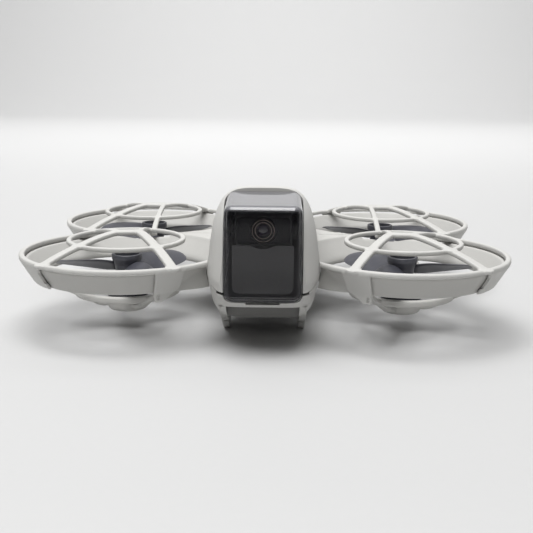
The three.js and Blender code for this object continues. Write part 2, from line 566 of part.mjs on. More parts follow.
function propeller() {
  const rings = BLADE_STATIONS.map(([share, chord, pitch, thickness]) => {
    const radius = share * PROP_RADIUS * 0.995;
    const lean = THREE.MathUtils.degToRad(pitch);
    const foil = [[-0.5, 0], [-0.25, 0.42], [0.1, 0.5], [0.5, 0], [0.1, -0.35], [-0.25, -0.3]];
    return foil.map(([along, up]) => {
      const across = along * chord;
      const lift = up * thickness;
      const y = across * Math.cos(lean) + lift * Math.sin(lean);
      const z = lift * Math.cos(lean) - across * Math.sin(lean);
      return [Math.sqrt(Math.max(radius ** 2 - y ** 2, 1)), y, PROP_PLANE + z];
    });
  });
  const blade = skin(rings);
  const hubBottom = BELL_TOP + CLEARANCE;
  const hub = turned([[0, hubBottom], [HUB_RADIUS - 0.5, hubBottom], [HUB_RADIUS, hubBottom + 0.5],
    [HUB_RADIUS, HUB_TOP - 0.6], [HUB_RADIUS - 0.6, HUB_TOP], [3.8, HUB_TOP],
    [3.6, HUB_TOP - 1.5], [0, HUB_TOP - 1.5]], 20);
  let body = hub;
  for (let n = 0; n < BLADE_COUNT; n++) {
    body = body.add(blade.rotate([0, 0, BLADE_PHASE + (360 * n) / BLADE_COUNT]));
  }
  const keepIn = disc(PROP_RADIUS, hubBottom - 1, HUB_TOP + 1, SEGMENTS);
  const screwHoles = [-1, 1].map((side) =>
    drop(side * PROP_SCREW.x, 0, disc(PROP_SCREW.radius + CLEARANCE, hubBottom - 1, HUB_TOP + 1, 8)));
  return body.intersect(keepIn).subtract(join(...screwHoles));
}

// ---- Camera, its cover and its mount --------------------------------------------------------
const FACE_Y = CAMERA_Y - CAMERA_FLAT;
function cameraHousing() {
  const outline = [];
  const half = Math.acos(CAMERA_FLAT / CAMERA_RADIUS);
  const steps = 20;
  for (let n = 0; n <= steps; n++) {
    const angle = Math.PI + half + ((2 * Math.PI - 2 * half) * n) / steps;
    outline.push([CAMERA_Y + CAMERA_RADIUS * Math.cos(angle), CAMERA_Z + CAMERA_RADIUS * Math.sin(angle)]);
  }
  const drum = slab(outline, -CAMERA_HALF_WIDTH, CAMERA_HALF_WIDTH);
  const lensBore = disc(LENS_RADIUS + CLEARANCE, -4, 4, 24).rotate([90, 0, 0])
    .translate([0, FACE_Y - 1, CAMERA_Z]);
  const motorPocket = alongX(3.6 + CLEARANCE, CAMERA_HALF_WIDTH - 2.6, CAMERA_HALF_WIDTH + 1, 20);
  const pivotPocket = alongX(1.2 + CLEARANCE, -CAMERA_HALF_WIDTH - 1, -CAMERA_HALF_WIDTH + 2.2, 12);
  return drum.subtract(lensBore).subtract(motorPocket).subtract(pivotPocket);
}

// A round bar along X on the camera's tilt axis.
function alongX(radius, x0, x1, segments = 12) {
  return disc(radius, 0, x1 - x0, segments).rotate([0, 90, 0]).translate([x0, CAMERA_Y, CAMERA_Z]);
}

const lensTurned = (profile) => turned(profile, 24).rotate([90, 0, 0]).translate([0, FACE_Y, CAMERA_Z]);
function cameraFace() {
  const halfHeight = 3.3;
  const plateBody = slab([
    [FACE_Y - 0.9, CAMERA_Z - halfHeight], [FACE_Y - CLEARANCE, CAMERA_Z - halfHeight - 0.7],
    [FACE_Y - CLEARANCE, CAMERA_Z + halfHeight + 0.7], [FACE_Y - 0.9, CAMERA_Z + halfHeight]],
  -CAMERA_HALF_WIDTH + 0.5, CAMERA_HALF_WIDTH - 0.5);
  const hole = LENS_RADIUS + CLEARANCE;
  return plateBody.subtract(lensTurned([[0, -2], [hole, -2], [hole, 3], [0, 3]]));
}
const lensBarrel = () => lensTurned([
  [0, -2.6], [LENS_RADIUS, -2.6], [LENS_RADIUS, 0.8], [LENS_RADIUS - 0.9, 0.8],
  [LENS_RADIUS - 1.3, 0.1], [2.0, -0.4], [2.0, -1.4], [0, -1.4]]);
const lensGlass = () => lensTurned([[0, -1.1], [1.7, -1.1], [1.7, -0.6], [1.0, -0.25], [0, -0.1]]);

// The cover's side outline, grown inwards or outwards by an inset.
function coverOutline(inset) {
  return [
    [COVER_REAR, COVER_TOP - inset], [FRONT + 5.5, COVER_TOP - 1.3 - inset],
    [FRONT + 2.2 + inset * 0.4, COVER_TOP - 2.2 - inset * 0.9],
    [FRONT + 0.6 + inset * 0.8, COVER_TOP - 4.2 - inset * 0.6],
    [FRONT + inset, COVER_TOP - 7.2], [FRONT + inset, COVER_BOTTOM + 5.4],
    [FRONT + 0.7 + inset * 0.8, COVER_BOTTOM + 2.4 + inset * 0.5],
    [FRONT + 2.6 + inset * 0.5, COVER_BOTTOM + 0.5 + inset],
    [SHELL_FRONT + 1.6, COVER_BOTTOM + inset], [SHELL_FRONT + 1.6, COVER_BOTTOM + 4.5],
    [COVER_REAR, COVER_BOTTOM + 16],
  ];
}

function gimbalCover() {
  const outside = slab(coverOutline(0), -COVER_HALF_WIDTH, COVER_HALF_WIDTH);
  const halfInside = COVER_HALF_WIDTH - COVER_WALL;
  const inside = slab(coverOutline(COVER_WALL), -halfInside, halfInside);
  const backOpen = slab([
    [SHELL_FRONT + 1.2, COVER_BOTTOM + 3.5], [REAR, COVER_BOTTOM + 3.5], [REAR, COVER_TOP - 2.4],
    [COVER_REAR - 1.5, COVER_TOP - 2.4], [COVER_REAR - 1.5, COVER_BOTTOM + 15]],
  -COVER_HALF_WIDTH + COVER_WALL, COVER_HALF_WIDTH - COVER_WALL);
  const corner = 2.2;
  const chamfer = (side) => plate([
    [side * (COVER_HALF_WIDTH + 1), FRONT - 1], [side * (COVER_HALF_WIDTH - corner), FRONT - 1],
    [side * (COVER_HALF_WIDTH - corner), FRONT], [side * (COVER_HALF_WIDTH - 0.7), FRONT + 0.8],
    [side * COVER_HALF_WIDTH, FRONT + corner], [side * (COVER_HALF_WIDTH + 1), FRONT + corner]], -5, 90);
  return outside.subtract(inside).subtract(backOpen).subtract(chamfer(1)).subtract(chamfer(-1));
}

const MASK_TOP = CAMERA_Z - 3.6;
function coverMask() {
  const y = FRONT + COVER_WALL + CLEARANCE;
  const half = COVER_HALF_WIDTH - COVER_WALL - 1.6;
  const panel = box(-half, half, y, y + 0.8, COVER_BOTTOM + 5.2, MASK_TOP);
  const view = disc(6.4, -3, 3, 32).rotate([90, 0, 0]).translate([0, y, CAMERA_Z + 1.8]);
  return panel.subtract(view);
}

function gimbalBracket() {
  const armX = CAMERA_HALF_WIDTH + 0.45;
  const back = CAMERA_Y + CAMERA_RADIUS + 0.6;
  const arm = (side) => {
    const x0 = side > 0 ? armX : -armX - 1.2;
    return box(x0, x0 + 1.2, CAMERA_Y - 2.4, back + 1.3, CAMERA_Z - 2.4, CAMERA_Z + 2.4);
  };
  const bridge = box(-armX - 1.2, armX + 1.2, back, back + 1.3, CAMERA_Z - 5, CAMERA_Z + 3.5);
  const pin = alongX(1.2, -armX - 0.5, -CAMERA_HALF_WIDTH + 1.9, 12);
  return join(arm(1), arm(-1), bridge, pin)
    .subtract(alongX(2.0 + CLEARANCE, armX - 1, armX + 3, 16));
}
const tiltMotor = () => alongX(3.6, CAMERA_HALF_WIDTH - 2.3, CAMERA_HALF_WIDTH + 0.1, 20)
  .add(alongX(2.0, CAMERA_HALF_WIDTH, CAMERA_HALF_WIDTH + 1.9, 16));

// ---- Battery ----------------------------------------------------------------------------------
const LATCH = {
  length: 4.4, halfHeight: 3.4, depth: 2.2, travel: 1.0,
  z: (BATTERY_BOTTOM + BATTERY_TOP) / 2,
};
const CAP_FRONT = SHELL_REAR + CLEARANCE;
function latchPocket(side, gap) {
  const outer = BODY_HALF_WIDTH - 1.6;
  const x0 = outer - LATCH.depth - (gap ? LATCH.travel + gap : 0);
  const y0 = CAP_FRONT + 1.5;
  const body = box(x0, outer + (gap ? 4 : 0), y0 - gap, y0 + LATCH.length + gap,
    LATCH.z - LATCH.halfHeight - gap, LATCH.z + LATCH.halfHeight + gap);
  return side > 0 ? body : body.mirror([1, 0, 0]);
}

function batteryCase() {
  const tail = STATIONS.at(-1);
  const capSection = (y, shrink) => section([y, tail[1] - shrink, tail[2] - shrink, tail[3] + shrink]);
  const cap = skin([capSection(CAP_FRONT, 0), capSection(REAR - 3.4, 0.3), capSection(REAR - 1.2, 1.2),
    capSection(REAR, 3.2)]);
  const pack = box(-BATTERY_HALF_WIDTH, BATTERY_HALF_WIDTH, BATTERY_FRONT, CAP_FRONT + 1,
    BATTERY_BOTTOM, BATTERY_TOP);
  const wall = BATTERY_WALL;
  const halfInside = BATTERY_HALF_WIDTH - wall;
  const inside = box(-halfInside, halfInside, BATTERY_FRONT + wall, CAP_FRONT - 1,
    BATTERY_BOTTOM + wall, BATTERY_TOP - wall);
  const mouth = box(-6, 6, BATTERY_FRONT - 1, BATTERY_FRONT + 2, BATTERY_TOP - 5, BATTERY_TOP - 2);
  return join(pack, cap).subtract(inside).subtract(mouth)
    .subtract(latchPocket(1, CLEARANCE)).subtract(latchPocket(-1, CLEARANCE));
}

function batteryCell(side) {
  const gap = BATTERY_WALL + CLEARANCE;
  const x0 = side > 0 ? CLEARANCE : -BATTERY_HALF_WIDTH + gap;
  const x1 = side > 0 ? BATTERY_HALF_WIDTH - gap : -CLEARANCE;
  return roundedBox(x0, x1, BATTERY_FRONT + 6.5, CAP_FRONT - 1 - CLEARANCE,
    BATTERY_BOTTOM + gap, BATTERY_TOP - gap, 1.5);
}

// A small board across the front of the cells, with four blades that meet the connector.
function batteryBoard() {
  const y0 = BATTERY_FRONT + 4.4;
  const gap = BATTERY_WALL + CLEARANCE;
  const board = box(-BATTERY_HALF_WIDTH + gap, BATTERY_HALF_WIDTH - gap, y0, y0 + 1.2,
    BATTERY_BOTTOM + gap, BATTERY_TOP - gap);
  const blades = [-4.2, -1.4, 1.4, 4.2].map((x) =>
    box(x - 0.5, x + 0.5, BATTERY_FRONT + CLEARANCE, y0 + 0.5, BATTERY_TOP - 4.6, BATTERY_TOP - 2.4));
  return join(board, ...blades);
}
function batteryConnector() {
  const rear = BATTERY_FRONT - CLEARANCE;
  return box(-5.6, 5.6, rear - 3.4, rear, BATTERY_TOP - 5.2, BATTERY_TOP - 1.6);
}

// ---- What the body holds ------------------------------------------------------------------------
const BOARD = { y0: CAMERA_Y + CAMERA_RADIUS + 4.5, y1: BATTERY_FRONT - 5, z: BELT_HEIGHT + 1.2 };
function mainBoard() {
  const half = BODY_HALF_WIDTH - 3.4;
  const top = BOARD.z + 1.0;
  return join(box(-half, half, BOARD.y0, BOARD.y1, BOARD.z, top),
    box(-6, 4, BOARD.y0 + 5, BOARD.y0 + 15, top - 0.1, top + 1.4),
    box(6, 11, BOARD.y0 + 5, BOARD.y0 + 11, top - 0.1, top + 1.1),
    box(-11.5, -7.5, BOARD.y0 + 8, BOARD.y0 + 14, top - 0.1, top + 1.1));
}
function heatSink() {
  const y1 = Math.min(BOARD.y1 - 1, BOARD.y0 + 24, USB.y - USB.halfLength - 1);
  const bottom = BELLY_HEIGHT + SHELL_WALL + 3.4;
  const top = BOARD.z - CLEARANCE;
  const fins = [];
  for (let n = 0; n < 7; n++) {
    const x = -9 + n * 3;
    fins.push(box(x - 0.5, x + 0.5, BOARD.y0 + 4, y1, bottom, top - 1.2));
  }
  return join(box(-10, 10, BOARD.y0 + 4, y1, top - 1.5, top), ...fins);
}
function positioningAntenna() {
  const z = BELT_HEIGHT + 8.5;
  const y0 = BOARD.y1 - 14;
  return box(-6.5, 6.5, y0, y0 + 11, z, z + 2.6);
}
const EYES = [-SENSOR.x / 2, SENSOR.x / 2];
const EYE_RADIUS = 2.2;
const eye = (x, radius, z0, z1) => drop(x, (SENSOR.y0 + SENSOR.y1) / 2, disc(radius, z0, z1, 20));
const sensorWindow = () => EYES.reduce((body, x) =>
  body.subtract(eye(x, EYE_RADIUS + CLEARANCE, BELLY_HEIGHT - 1, BELLY_HEIGHT + 3)),
box(-SENSOR.x, SENSOR.x, SENSOR.y0, SENSOR.y1, BELLY_HEIGHT + 0.2, BELLY_HEIGHT + 1.4));
const downwardSensor = () => join(
  ...EYES.map((x) => eye(x, EYE_RADIUS, BELLY_HEIGHT + 0.4, BELLY_HEIGHT + 3)),
  box(-SENSOR.x + 0.5, SENSOR.x - 0.5, SENSOR.y0 + 2, SENSOR.y1 - 2, BELLY_HEIGHT + 2, BELLY_HEIGHT + 3.2));
const usbPort = () => {
  const x1 = BODY_HALF_WIDTH - 1.6;
  const shellBox = box(x1 - 6.5, x1, USB.y - USB.halfLength, USB.y + USB.halfLength,
    USB.z - USB.halfHeight, USB.z + USB.halfHeight);
  return shellBox.subtract(box(x1 - 5.5, x1 + 1, USB.y - USB.halfLength + 0.4, USB.y + USB.halfLength - 0.4,
    USB.z - USB.halfHeight + 0.4, USB.z + USB.halfHeight - 0.4));
};
const bellyScrew = () => disc(SCREW_HEAD, BELLY_HEIGHT + 1.1, BELLY_HEIGHT + 2.2, 12)
  .add(disc(0.8, BELLY_HEIGHT + 2, BELLY_HEIGHT + 8, 8));
// Stubs that reach up to the crown from a bar under it.
function lightPipe(places) {
  const lowest = Math.min(...places.map(([, y]) => crownHeight(y)));
  const barTop = lowest - SHELL_WALL - 1.4;
  const stubs = places.map(([x, y]) =>
    drop(x, y, disc(LAMP_RADIUS, barTop - 0.8, crownHeight(y) - 0.3 - 0.035 * Math.abs(x), 8)));
  const links = places.slice(1).map(([x1, y1], n) => {
    const [x0, y0] = places[n];
    return strap([[x0, y0, barTop - 0.6], [x1, y1, barTop - 0.6]], 1.6, 1.2);
  });
  return join(...stubs, ...links);
}
// A round key whose top follows the crown and stands a little above it.
function button({ y, radius }) {
  const crown = crownHeight(y);
  return drop(0, y, disc(radius, crown - BUTTON_HEIGHT, crown + 2, 24)).intersect(bodyForm(-BUTTON_PROUD));
}

// ---- Assembly -----------------------------------------------------------------------------------
const drone = new THREE.Group();
function add(name, body, material, parent = drone) {
  const mesh = new THREE.Mesh(surface(body), material);
  mesh.name = name;
  parent.add(mesh);
}

add('upper_shell', upperShell(), LIGHT_GREY);
add('lower_shell', lowerShell(), MID_GREY);
SCREW_PLACES.forEach(([x, y], n) => add(`belly_screw_${n + 1}`, drop(x, y, bellyScrew()), STEEL));
add('main_board', mainBoard(), BOARD_GREEN);
add('heat_sink', heatSink(), STEEL);
add('positioning_antenna', positioningAntenna(), GOLD);
add('battery_connector', batteryConnector(), BLACK);
add('usb_port', usbPort(), STEEL);
add('battery_light_pipe', lightPipe(rowOfLamps), LAMP);
add('mode_light_pipe', lightPipe(arcOfLamps), LAMP);
add('sensor_window', sensorWindow(), GLOSS_BLACK);
add('downward_sensor', downwardSensor(), GLASS);
add('gimbal_bracket', gimbalBracket(), DARK_GREY);
add('tilt_motor', tiltMotor(), BLACK);
add('camera_housing', cameraHousing(), BLACK);
add('camera_face', cameraFace(), GLOSS_BLACK);
add('lens_barrel', lensBarrel(), BLACK);
add('lens_glass', lensGlass(), GLASS);
add('gimbal_cover', gimbalCover(), CLEAR);
add('cover_mask', coverMask(), DARK_GREY);
add('battery_case', batteryCase(), MID_GREY);
add('battery_board', batteryBoard(), COPPER);
for (const [name, side] of [['left', 1], ['right', -1]]) {
  add(`battery_cell_${name}`, batteryCell(side), RUBBER);
  add(`battery_latch_${name}`, latchPocket(side, 0), DARK_GREY);
}
for (const [name, place] of Object.entries(BUTTONS)) add(name, button(place), LIGHT_GREY);

// Left is +X, because the nose points towards -Y. A duct's own frame is turned over for each corner.
const CORNERS = [
  { name: 'front_left', sx: 1, sy: 1, pair: 'front' }, { name: 'front_right', sx: -1, sy: 1, pair: 'front' },
  { name: 'rear_left', sx: 1, sy: -1, pair: 'rear' }, { name: 'rear_right', sx: -1, sy: -1, pair: 'rear' },
];
for (const { name, sx, sy, pair } of CORNERS) {
  const corner = new THREE.Group();
  corner.position.set(sx * MOTOR_X, -sy * MOTOR_Y, 0);
  corner.scale.set(sx, sy, 1);
  drone.add(corner);
  add(`duct_${name}`, ductFrame(pair), MID_GREY, corner);
  add(`prop_guard_${name}`, propGuard(pair), LIGHT_GREY, corner);
  add(`motor_mount_${name}`, motorMount(pair), MID_GREY, corner);
  add(`stator_${name}`, stator(), COPPER, corner);
  add(`motor_bell_${name}`, motorBell(), DARK_GREY, corner);
  add(`propeller_${name}`, propeller(), DARK_GREY, corner);
}

export default drone;
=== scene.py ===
"""Looks for a palm-size ducted camera quadcopter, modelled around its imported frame."""
import json
import math

import bmesh
import bpy
from mathutils import Matrix, Vector


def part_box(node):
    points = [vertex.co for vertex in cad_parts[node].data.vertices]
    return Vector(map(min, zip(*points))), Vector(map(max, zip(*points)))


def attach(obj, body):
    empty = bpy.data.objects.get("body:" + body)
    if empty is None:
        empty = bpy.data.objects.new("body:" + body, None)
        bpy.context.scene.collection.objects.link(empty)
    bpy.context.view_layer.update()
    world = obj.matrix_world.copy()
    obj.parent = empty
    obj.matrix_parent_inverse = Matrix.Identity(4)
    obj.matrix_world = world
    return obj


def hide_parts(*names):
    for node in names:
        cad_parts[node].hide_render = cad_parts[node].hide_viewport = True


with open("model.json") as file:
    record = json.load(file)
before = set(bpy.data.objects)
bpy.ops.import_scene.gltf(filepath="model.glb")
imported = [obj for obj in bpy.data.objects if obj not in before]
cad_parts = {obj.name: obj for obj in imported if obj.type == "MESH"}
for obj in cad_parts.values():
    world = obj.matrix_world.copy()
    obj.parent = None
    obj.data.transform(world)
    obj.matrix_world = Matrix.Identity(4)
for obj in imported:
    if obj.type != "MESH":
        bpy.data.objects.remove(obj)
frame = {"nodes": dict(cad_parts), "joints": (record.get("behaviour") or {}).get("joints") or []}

bl_info = {
    "name": "Ducted Camera Drone",
    "version": (1, 0, 0),
    "blender": (4, 5, 0),
    "location": "View3D > Sidebar > Drone",
    "description": "Models the shells, ducts, guards, rotors, camera and battery of a small camera drone",
    "category": "Object",
}

MM = 0.001


def limits(node):
    """Lowest and highest corner of a frame node, in millimetres."""
    low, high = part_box(node)
    return low / MM, high / MM


# ---- Places read from the frame, in millimetres --------------------------------------------
COVER_LOW, COVER_HIGH = limits("gimbal_cover")
SHELL_LOW, SHELL_HIGH = limits("upper_shell")
LOWER_HIGH = limits("lower_shell")[1]
CASE_LOW, CASE_HIGH = limits("battery_case")
WINDOW_LOW, WINDOW_HIGH = limits("sensor_window")
GUARD_LOW, GUARD_HIGH = limits("prop_guard_front_left")
DUCT_LOW, DUCT_HIGH = limits("duct_front_left")
MOUNT_LOW = limits("motor_mount_front_left")[0]
BELL_LOW, BELL_HIGH = limits("motor_bell_front_left")
FACE_LOW, FACE_HIGH = limits("camera_face")
MASK_LOW, MASK_HIGH = limits("cover_mask")
USB_LOW, USB_HIGH = limits("usb_port")
JOINTS = {joint["name"]: joint for joint in frame["joints"]}
ROTOR_X, ROTOR_Y, _ = (abs(value) / MM for value in JOINTS["spin_front_left"]["pos_m"])
TILT_Y, TILT_Z = (value / MM for value in JOINTS["camera_tilt"]["pos_m"][1:])
CORNERS = {"front_left": (1, 1), "front_right": (-1, 1), "rear_left": (1, -1), "rear_right": (-1, -1)}

GAP = 0.3                                   # between separate pieces that touch
NOSE, TAIL = COVER_LOW.y, CASE_HIGH.y
HALF_WIDTH = SHELL_HIGH.x
CROWN = SHELL_HIGH.z
BELT = LOWER_HIGH.z + GAP                   # parting line of the two shells
BELLY = WINDOW_LOW.z - 0.2
TAIL_TOP = CASE_HIGH.z
THROAT = ROTOR_X - HALF_WIDTH               # inner radius of a duct
BLADE_REACH = THROAT - 1.7
LIP = GUARD_HIGH.x - ROTOR_X                # outer radius of a guard's lip
MOUTH = THROAT + 4.0
DUCT_WALL = 1.1
BAND_BOTTOM, RIDGE = DUCT_LOW.z, DUCT_HIGH.z
BAND_TOP = RIDGE - 1.5
LIP_TOP = RIDGE + 0.3
GUARD_CROWN, LEG_BOTTOM = GUARD_HIGH.z, GUARD_LOW.z
BELL_RADIUS = (BELL_HIGH.x - BELL_LOW.x) / 2
HUB_TOP = limits("propeller_front_left")[1].z
BELL_TOP = HUB_TOP - 7.0
STATOR_BASE = limits("stator_front_left")[0].z


# ---- Settings that a user would change -------------------------------------------------------
def length_property(name, default, description):
    """A length in metres, given in millimetres."""
    return bpy.props.FloatProperty(name=name, description=description, default=default * MM, min=0.0,
                                   precision=5, unit="LENGTH")


def colour_property(name, default, description):
    return bpy.props.FloatVectorProperty(name=name, description=description, default=default, size=3,
                                         min=0.0, max=1.0, subtype="COLOR")


class DroneShape(bpy.types.PropertyGroup):
    """Fine sizes of the moulded pieces."""
    shell_wall: length_property("Shell wall", 1.3, "Thickness of the two body shells")
    edge: length_property("Edge", 0.3, "Rounding of the crisp edges of the shells")
    guard_grain: length_property("Guard grain", 0.3, "Spacing of the mesh of the moulded guards")
    duct_grain: length_property("Duct grain", 0.38, "Spacing of the mesh of the ducts")
    cover_corner: length_property("Cover corner", 2.6, "Rounding of the clear cover's long edges")
    cover_wall: length_property("Cover wall", 0.7, "Thickness of the clear cover")
    ring_facets: bpy.props.IntProperty(name="Ring facets", description="Facets of a full ring",
                                       default=144, min=24, max=512)


class DroneFinish(bpy.types.PropertyGroup):
    """Colours and gloss of the pieces."""
    shell: colour_property("Shell", (0.525, 0.52, 0.50), "Warm light grey of the body and guards")
    frame: colour_property("Frame", (0.48, 0.474, 0.454), "Slightly darker grey of ducts and mounts")
    blade: colour_property("Blade", (0.058, 0.059, 0.072), "Dark bluish grey of the propellers")
    mask: colour_property("Mask", (0.072, 0.070, 0.073), "Dark grey panel behind the clear cover")
    smoke: colour_property("Smoke", (0.020, 0.019, 0.023), "Tint of the clear cover")
    copper: colour_property("Copper", (0.55, 0.20, 0.07), "Enamelled winding wire")
    board: colour_property("Board", (0.012, 0.075, 0.035), "Solder mask of the boards")
    shell_roughness: bpy.props.FloatProperty(name="Shell roughness", description="Matte of the grey plastic",
                                             default=0.52, min=0.0, max=1.0, subtype="FACTOR")


class DroneStage(bpy.types.PropertyGroup):
    """Camera and studio."""
    camera_place: bpy.props.FloatVectorProperty(name="Camera place", description="Where the camera stands",
                                                default=(0.00368, -0.29406, 0.07912), size=3,
                                                subtype="TRANSLATION", unit="LENGTH", precision=5)
    camera_pitch: bpy.props.FloatProperty(name="Pitch", description="How far the camera looks down",
                                          default=math.radians(12.51), subtype="ANGLE")
    camera_yaw: bpy.props.FloatProperty(name="Yaw", description="How far the camera is turned",
                                        default=math.radians(0.8), subtype="ANGLE")
    camera_roll: bpy.props.FloatProperty(name="Roll", description="How far the camera leans",
                                         default=math.radians(0.5), subtype="ANGLE")
    focal_length: bpy.props.FloatProperty(name="Focal length", description="In millimetres on a 36 mm sensor",
                                          default=56.02, min=10.0, max=200.0)
    top_light: bpy.props.FloatProperty(name="Top light", description="Power of the overhead softbox in watts",
                                       default=10.0, min=0.0)
    back_light: bpy.props.FloatProperty(name="Back light", default=48.0, min=0.0,
                                        description="Power of the backdrop's softbox in watts")
    fill: bpy.props.FloatProperty(name="Fill", description="Brightness of the room", default=0.55, min=0.0)
    floor_tone: colour_property("Floor", (0.515, 0.515, 0.514), "Pale sweep that the drone stands on")


def shape():
    """Fine sizes in millimetres."""
    group = bpy.context.scene.drone_shape
    return {name: getattr(group, name) / MM for name in
            ("shell_wall", "edge", "guard_grain", "duct_grain", "cover_corner", "cover_wall")}


# ---- Modelling helpers: everything is modelled in millimetres and finished in metres ---------
def deselect():
    if bpy.context.mode != "OBJECT":
        bpy.ops.object.mode_set(mode="OBJECT")
    bpy.ops.object.select_all(action="DESELECT")


def solo(obj):
    deselect()
    obj.select_set(True)
    bpy.context.view_layer.objects.active = obj
    return obj


def block(x0, x1, y0, y1, z0, z1):
    """A box between two corners."""
    deselect()
    bpy.ops.mesh.primitive_cube_add(size=1, location=((x0 + x1) / 2, (y0 + y1) / 2, (z0 + z1) / 2))
    bpy.ops.transform.resize(value=(x1 - x0, y1 - y0, z1 - z0))
    bpy.ops.object.transform_apply(location=True, rotation=True, scale=True)
    return bpy.context.object


def rod(radius, start, end, facets=48):
    """A round bar between two points."""
    start, end = Vector(start), Vector(end)
    deselect()
    bpy.ops.mesh.primitive_cylinder_add(vertices=facets, radius=radius, depth=(end - start).length)
    bar = bpy.context.object
    turn = (end - start).to_track_quat("Z", "Y").to_matrix().to_4x4()
    bar.data.transform(Matrix.Translation((start + end) / 2) @ turn)
    return bar


def outline_object(points, filled):
    """A ring of vertices, with a face or without, laid on the given points."""
    deselect()
    bpy.ops.mesh.primitive_circle_add(vertices=len(points), fill_type="NGON" if filled else "NOTHING")
    ring = bpy.context.object
    for vertex, point in zip(ring.data.vertices, points):
        vertex.co = point
    return ring


def turned(profile, facets=None):
    """A solid of revolution about Z from the [radius, height] corners of a closed outline."""
    ring = outline_object([(radius, 0, height) for radius, height in profile], filled=False)
    solo(ring)
    bpy.ops.object.mode_set(mode="EDIT")
    bpy.ops.mesh.select_all(action="SELECT")
    bpy.ops.mesh.spin(steps=facets or bpy.context.scene.drone_shape.ring_facets, angle=2 * math.pi,
                      center=(0, 0, 0), axis=(0, 0, 1))
    bpy.ops.mesh.select_all(action="SELECT")
    bpy.ops.mesh.remove_doubles(threshold=1e-4)
    bpy.ops.mesh.dissolve_degenerate(threshold=1e-5)
    bpy.ops.mesh.normals_make_consistent(inside=False)
    bpy.ops.object.mode_set(mode="OBJECT")
    return ring


def pushed(points, push):
    """A flat outline pushed along a vector into a closed solid."""
    face = outline_object(points, filled=True)
    solo(face)
    bpy.ops.object.mode_set(mode="EDIT")
    bpy.ops.mesh.select_all(action="SELECT")
    bpy.ops.mesh.extrude_region_move(TRANSFORM_OT_translate={"value": push})
    bpy.ops.mesh.select_all(action="SELECT")
    bpy.ops.mesh.normals_make_consistent(inside=False)
    bpy.ops.object.mode_set(mode="OBJECT")
    return face


def plate(outline, z0, z1):
    return pushed([(x, y, z0) for x, y in outline], (0, 0, z1 - z0))


def slab(outline, x0, x1):
    return pushed([(x0, y, z) for y, z in outline], (x1 - x0, 0, 0))


def rounded(corners, radius, steps=6):
    """An outline whose corners become arcs; a corner may give its own radius as a third number."""
    points = []
    count = len(corners)
    for index, corner in enumerate(corners):
        here = Vector(corner[:2])
        before = Vector(corners[index - 1][:2]) - here
        after = Vector(corners[(index + 1) % count][:2]) - here
        bend = before.angle(after, math.pi)
        reach = corner[2] if len(corner) > 2 else radius
        reach = min(reach / math.tan(bend / 2), 0.48 * min(before.length, after.length)) if bend < 3.1 else 0
        if reach < 1e-4:
            points.append(tuple(here))
            continue
        start, end = here + before.normalized() * reach, here + after.normalized() * reach
        for step in range(steps + 1):
            share = step / steps
            points.append(tuple(start * (1 - share) ** 2 + here * 2 * share * (1 - share) + end * share ** 2))
    return points


def framed(x0, x1, y0, y1, radius, grow=0.0, steps=6):
    """The outline of a rectangle with round corners, grown by a margin."""
    x0, x1, y0, y1 = x0 - grow, x1 + grow, y0 - grow, y1 + grow
    return rounded([(x0, y0), (x1, y0), (x1, y1), (x0, y1)], radius, steps)


def section(inner, outer, low, high):
    """The square section of a ring, or of a disc where it starts at the axis."""
    return [(inner, low), (outer, low), (outer, high), (inner, high)]


def loft(rings):
    """Rings of the same count joined into one closed skin."""
    deselect()
    mesh = bpy.data.meshes.new("loft")
    shaped = bmesh.new()
    rows = [[shaped.verts.new(point) for point in ring] for ring in rings]
    count = len(rings[0])
    for row, following in zip(rows, rows[1:]):
        for index in range(count):
            after = (index + 1) % count
            shaped.faces.new((row[index], row[after], following[after], following[index]))
    shaped.faces.new(rows[0])
    shaped.faces.new(rows[-1])
    bmesh.ops.recalc_face_normals(shaped, faces=shaped.faces)
    shaped.to_mesh(mesh)
    shaped.free()
    skin = bpy.data.objects.new("loft", mesh)
    bpy.context.scene.collection.objects.link(skin)
    return solo(skin)


def strap(path, width, thickness, corner=0.35):
    """A moulded strap that follows a path, its width level and its thickness upright."""
    half_w, half_t = width / 2, thickness / 2
    section = rounded([(half_w, half_t), (-half_w, half_t), (-half_w, -half_t), (half_w, -half_t)], corner, 3)
    rings = []
    for index, place in enumerate(path):
        before, after = path[max(index - 1, 0)], path[min(index + 1, len(path) - 1)]
        along = Vector((after[0] - before[0], after[1] - before[1], 0)).normalized()
        side = Vector((-along.y, along.x, 0))
        rings.append([Vector(place) + side * across + Vector((0, 0, up)) for across, up in section])
    return loft(rings)


def apply_modifier(obj, kind, **settings):
    modifier = obj.modifiers.new(kind.lower(), kind)
    for name, value in settings.items():
        setattr(modifier, name, value)
    solo(obj)
    bpy.ops.object.modifier_apply(modifier=modifier.name)
    return obj


def boolean(obj, tool, operation):
    count = len(obj.data.vertices)
    apply_modifier(obj, "BOOLEAN", operation=operation, solver="MANIFOLD", object=tool)
    if len(obj.data.vertices) in (0, count):
        apply_modifier(obj, "BOOLEAN", operation=operation, solver="EXACT", object=tool)
    if not obj.data.vertices:
        raise RuntimeError("nothing is left of a piece after a cut")
    bpy.data.objects.remove(tool)
    return obj


def cut(obj, *tools):
    for tool in tools:
        boolean(obj, tool, "DIFFERENCE")
    return obj


def fuse(obj, *others):
    for other in others:
        boolean(obj, other, "UNION")
    return obj


def joined(parts):
    """Several objects as one, their surfaces left as they are."""
    deselect()
    for part in parts:
        part.select_set(True)
    bpy.context.view_layer.objects.active = parts[0]
    if len(parts) > 1:
        bpy.ops.object.join()
    return parts[0]


def moulded(parts, grain, rounds):
    """Overlapping solids melted into one with soft edges and fillets."""
    body = joined(parts)
    apply_modifier(body, "REMESH", mode="VOXEL", voxel_size=grain, adaptivity=0.0)
    return apply_modifier(body, "SMOOTH", factor=0.5, iterations=rounds)


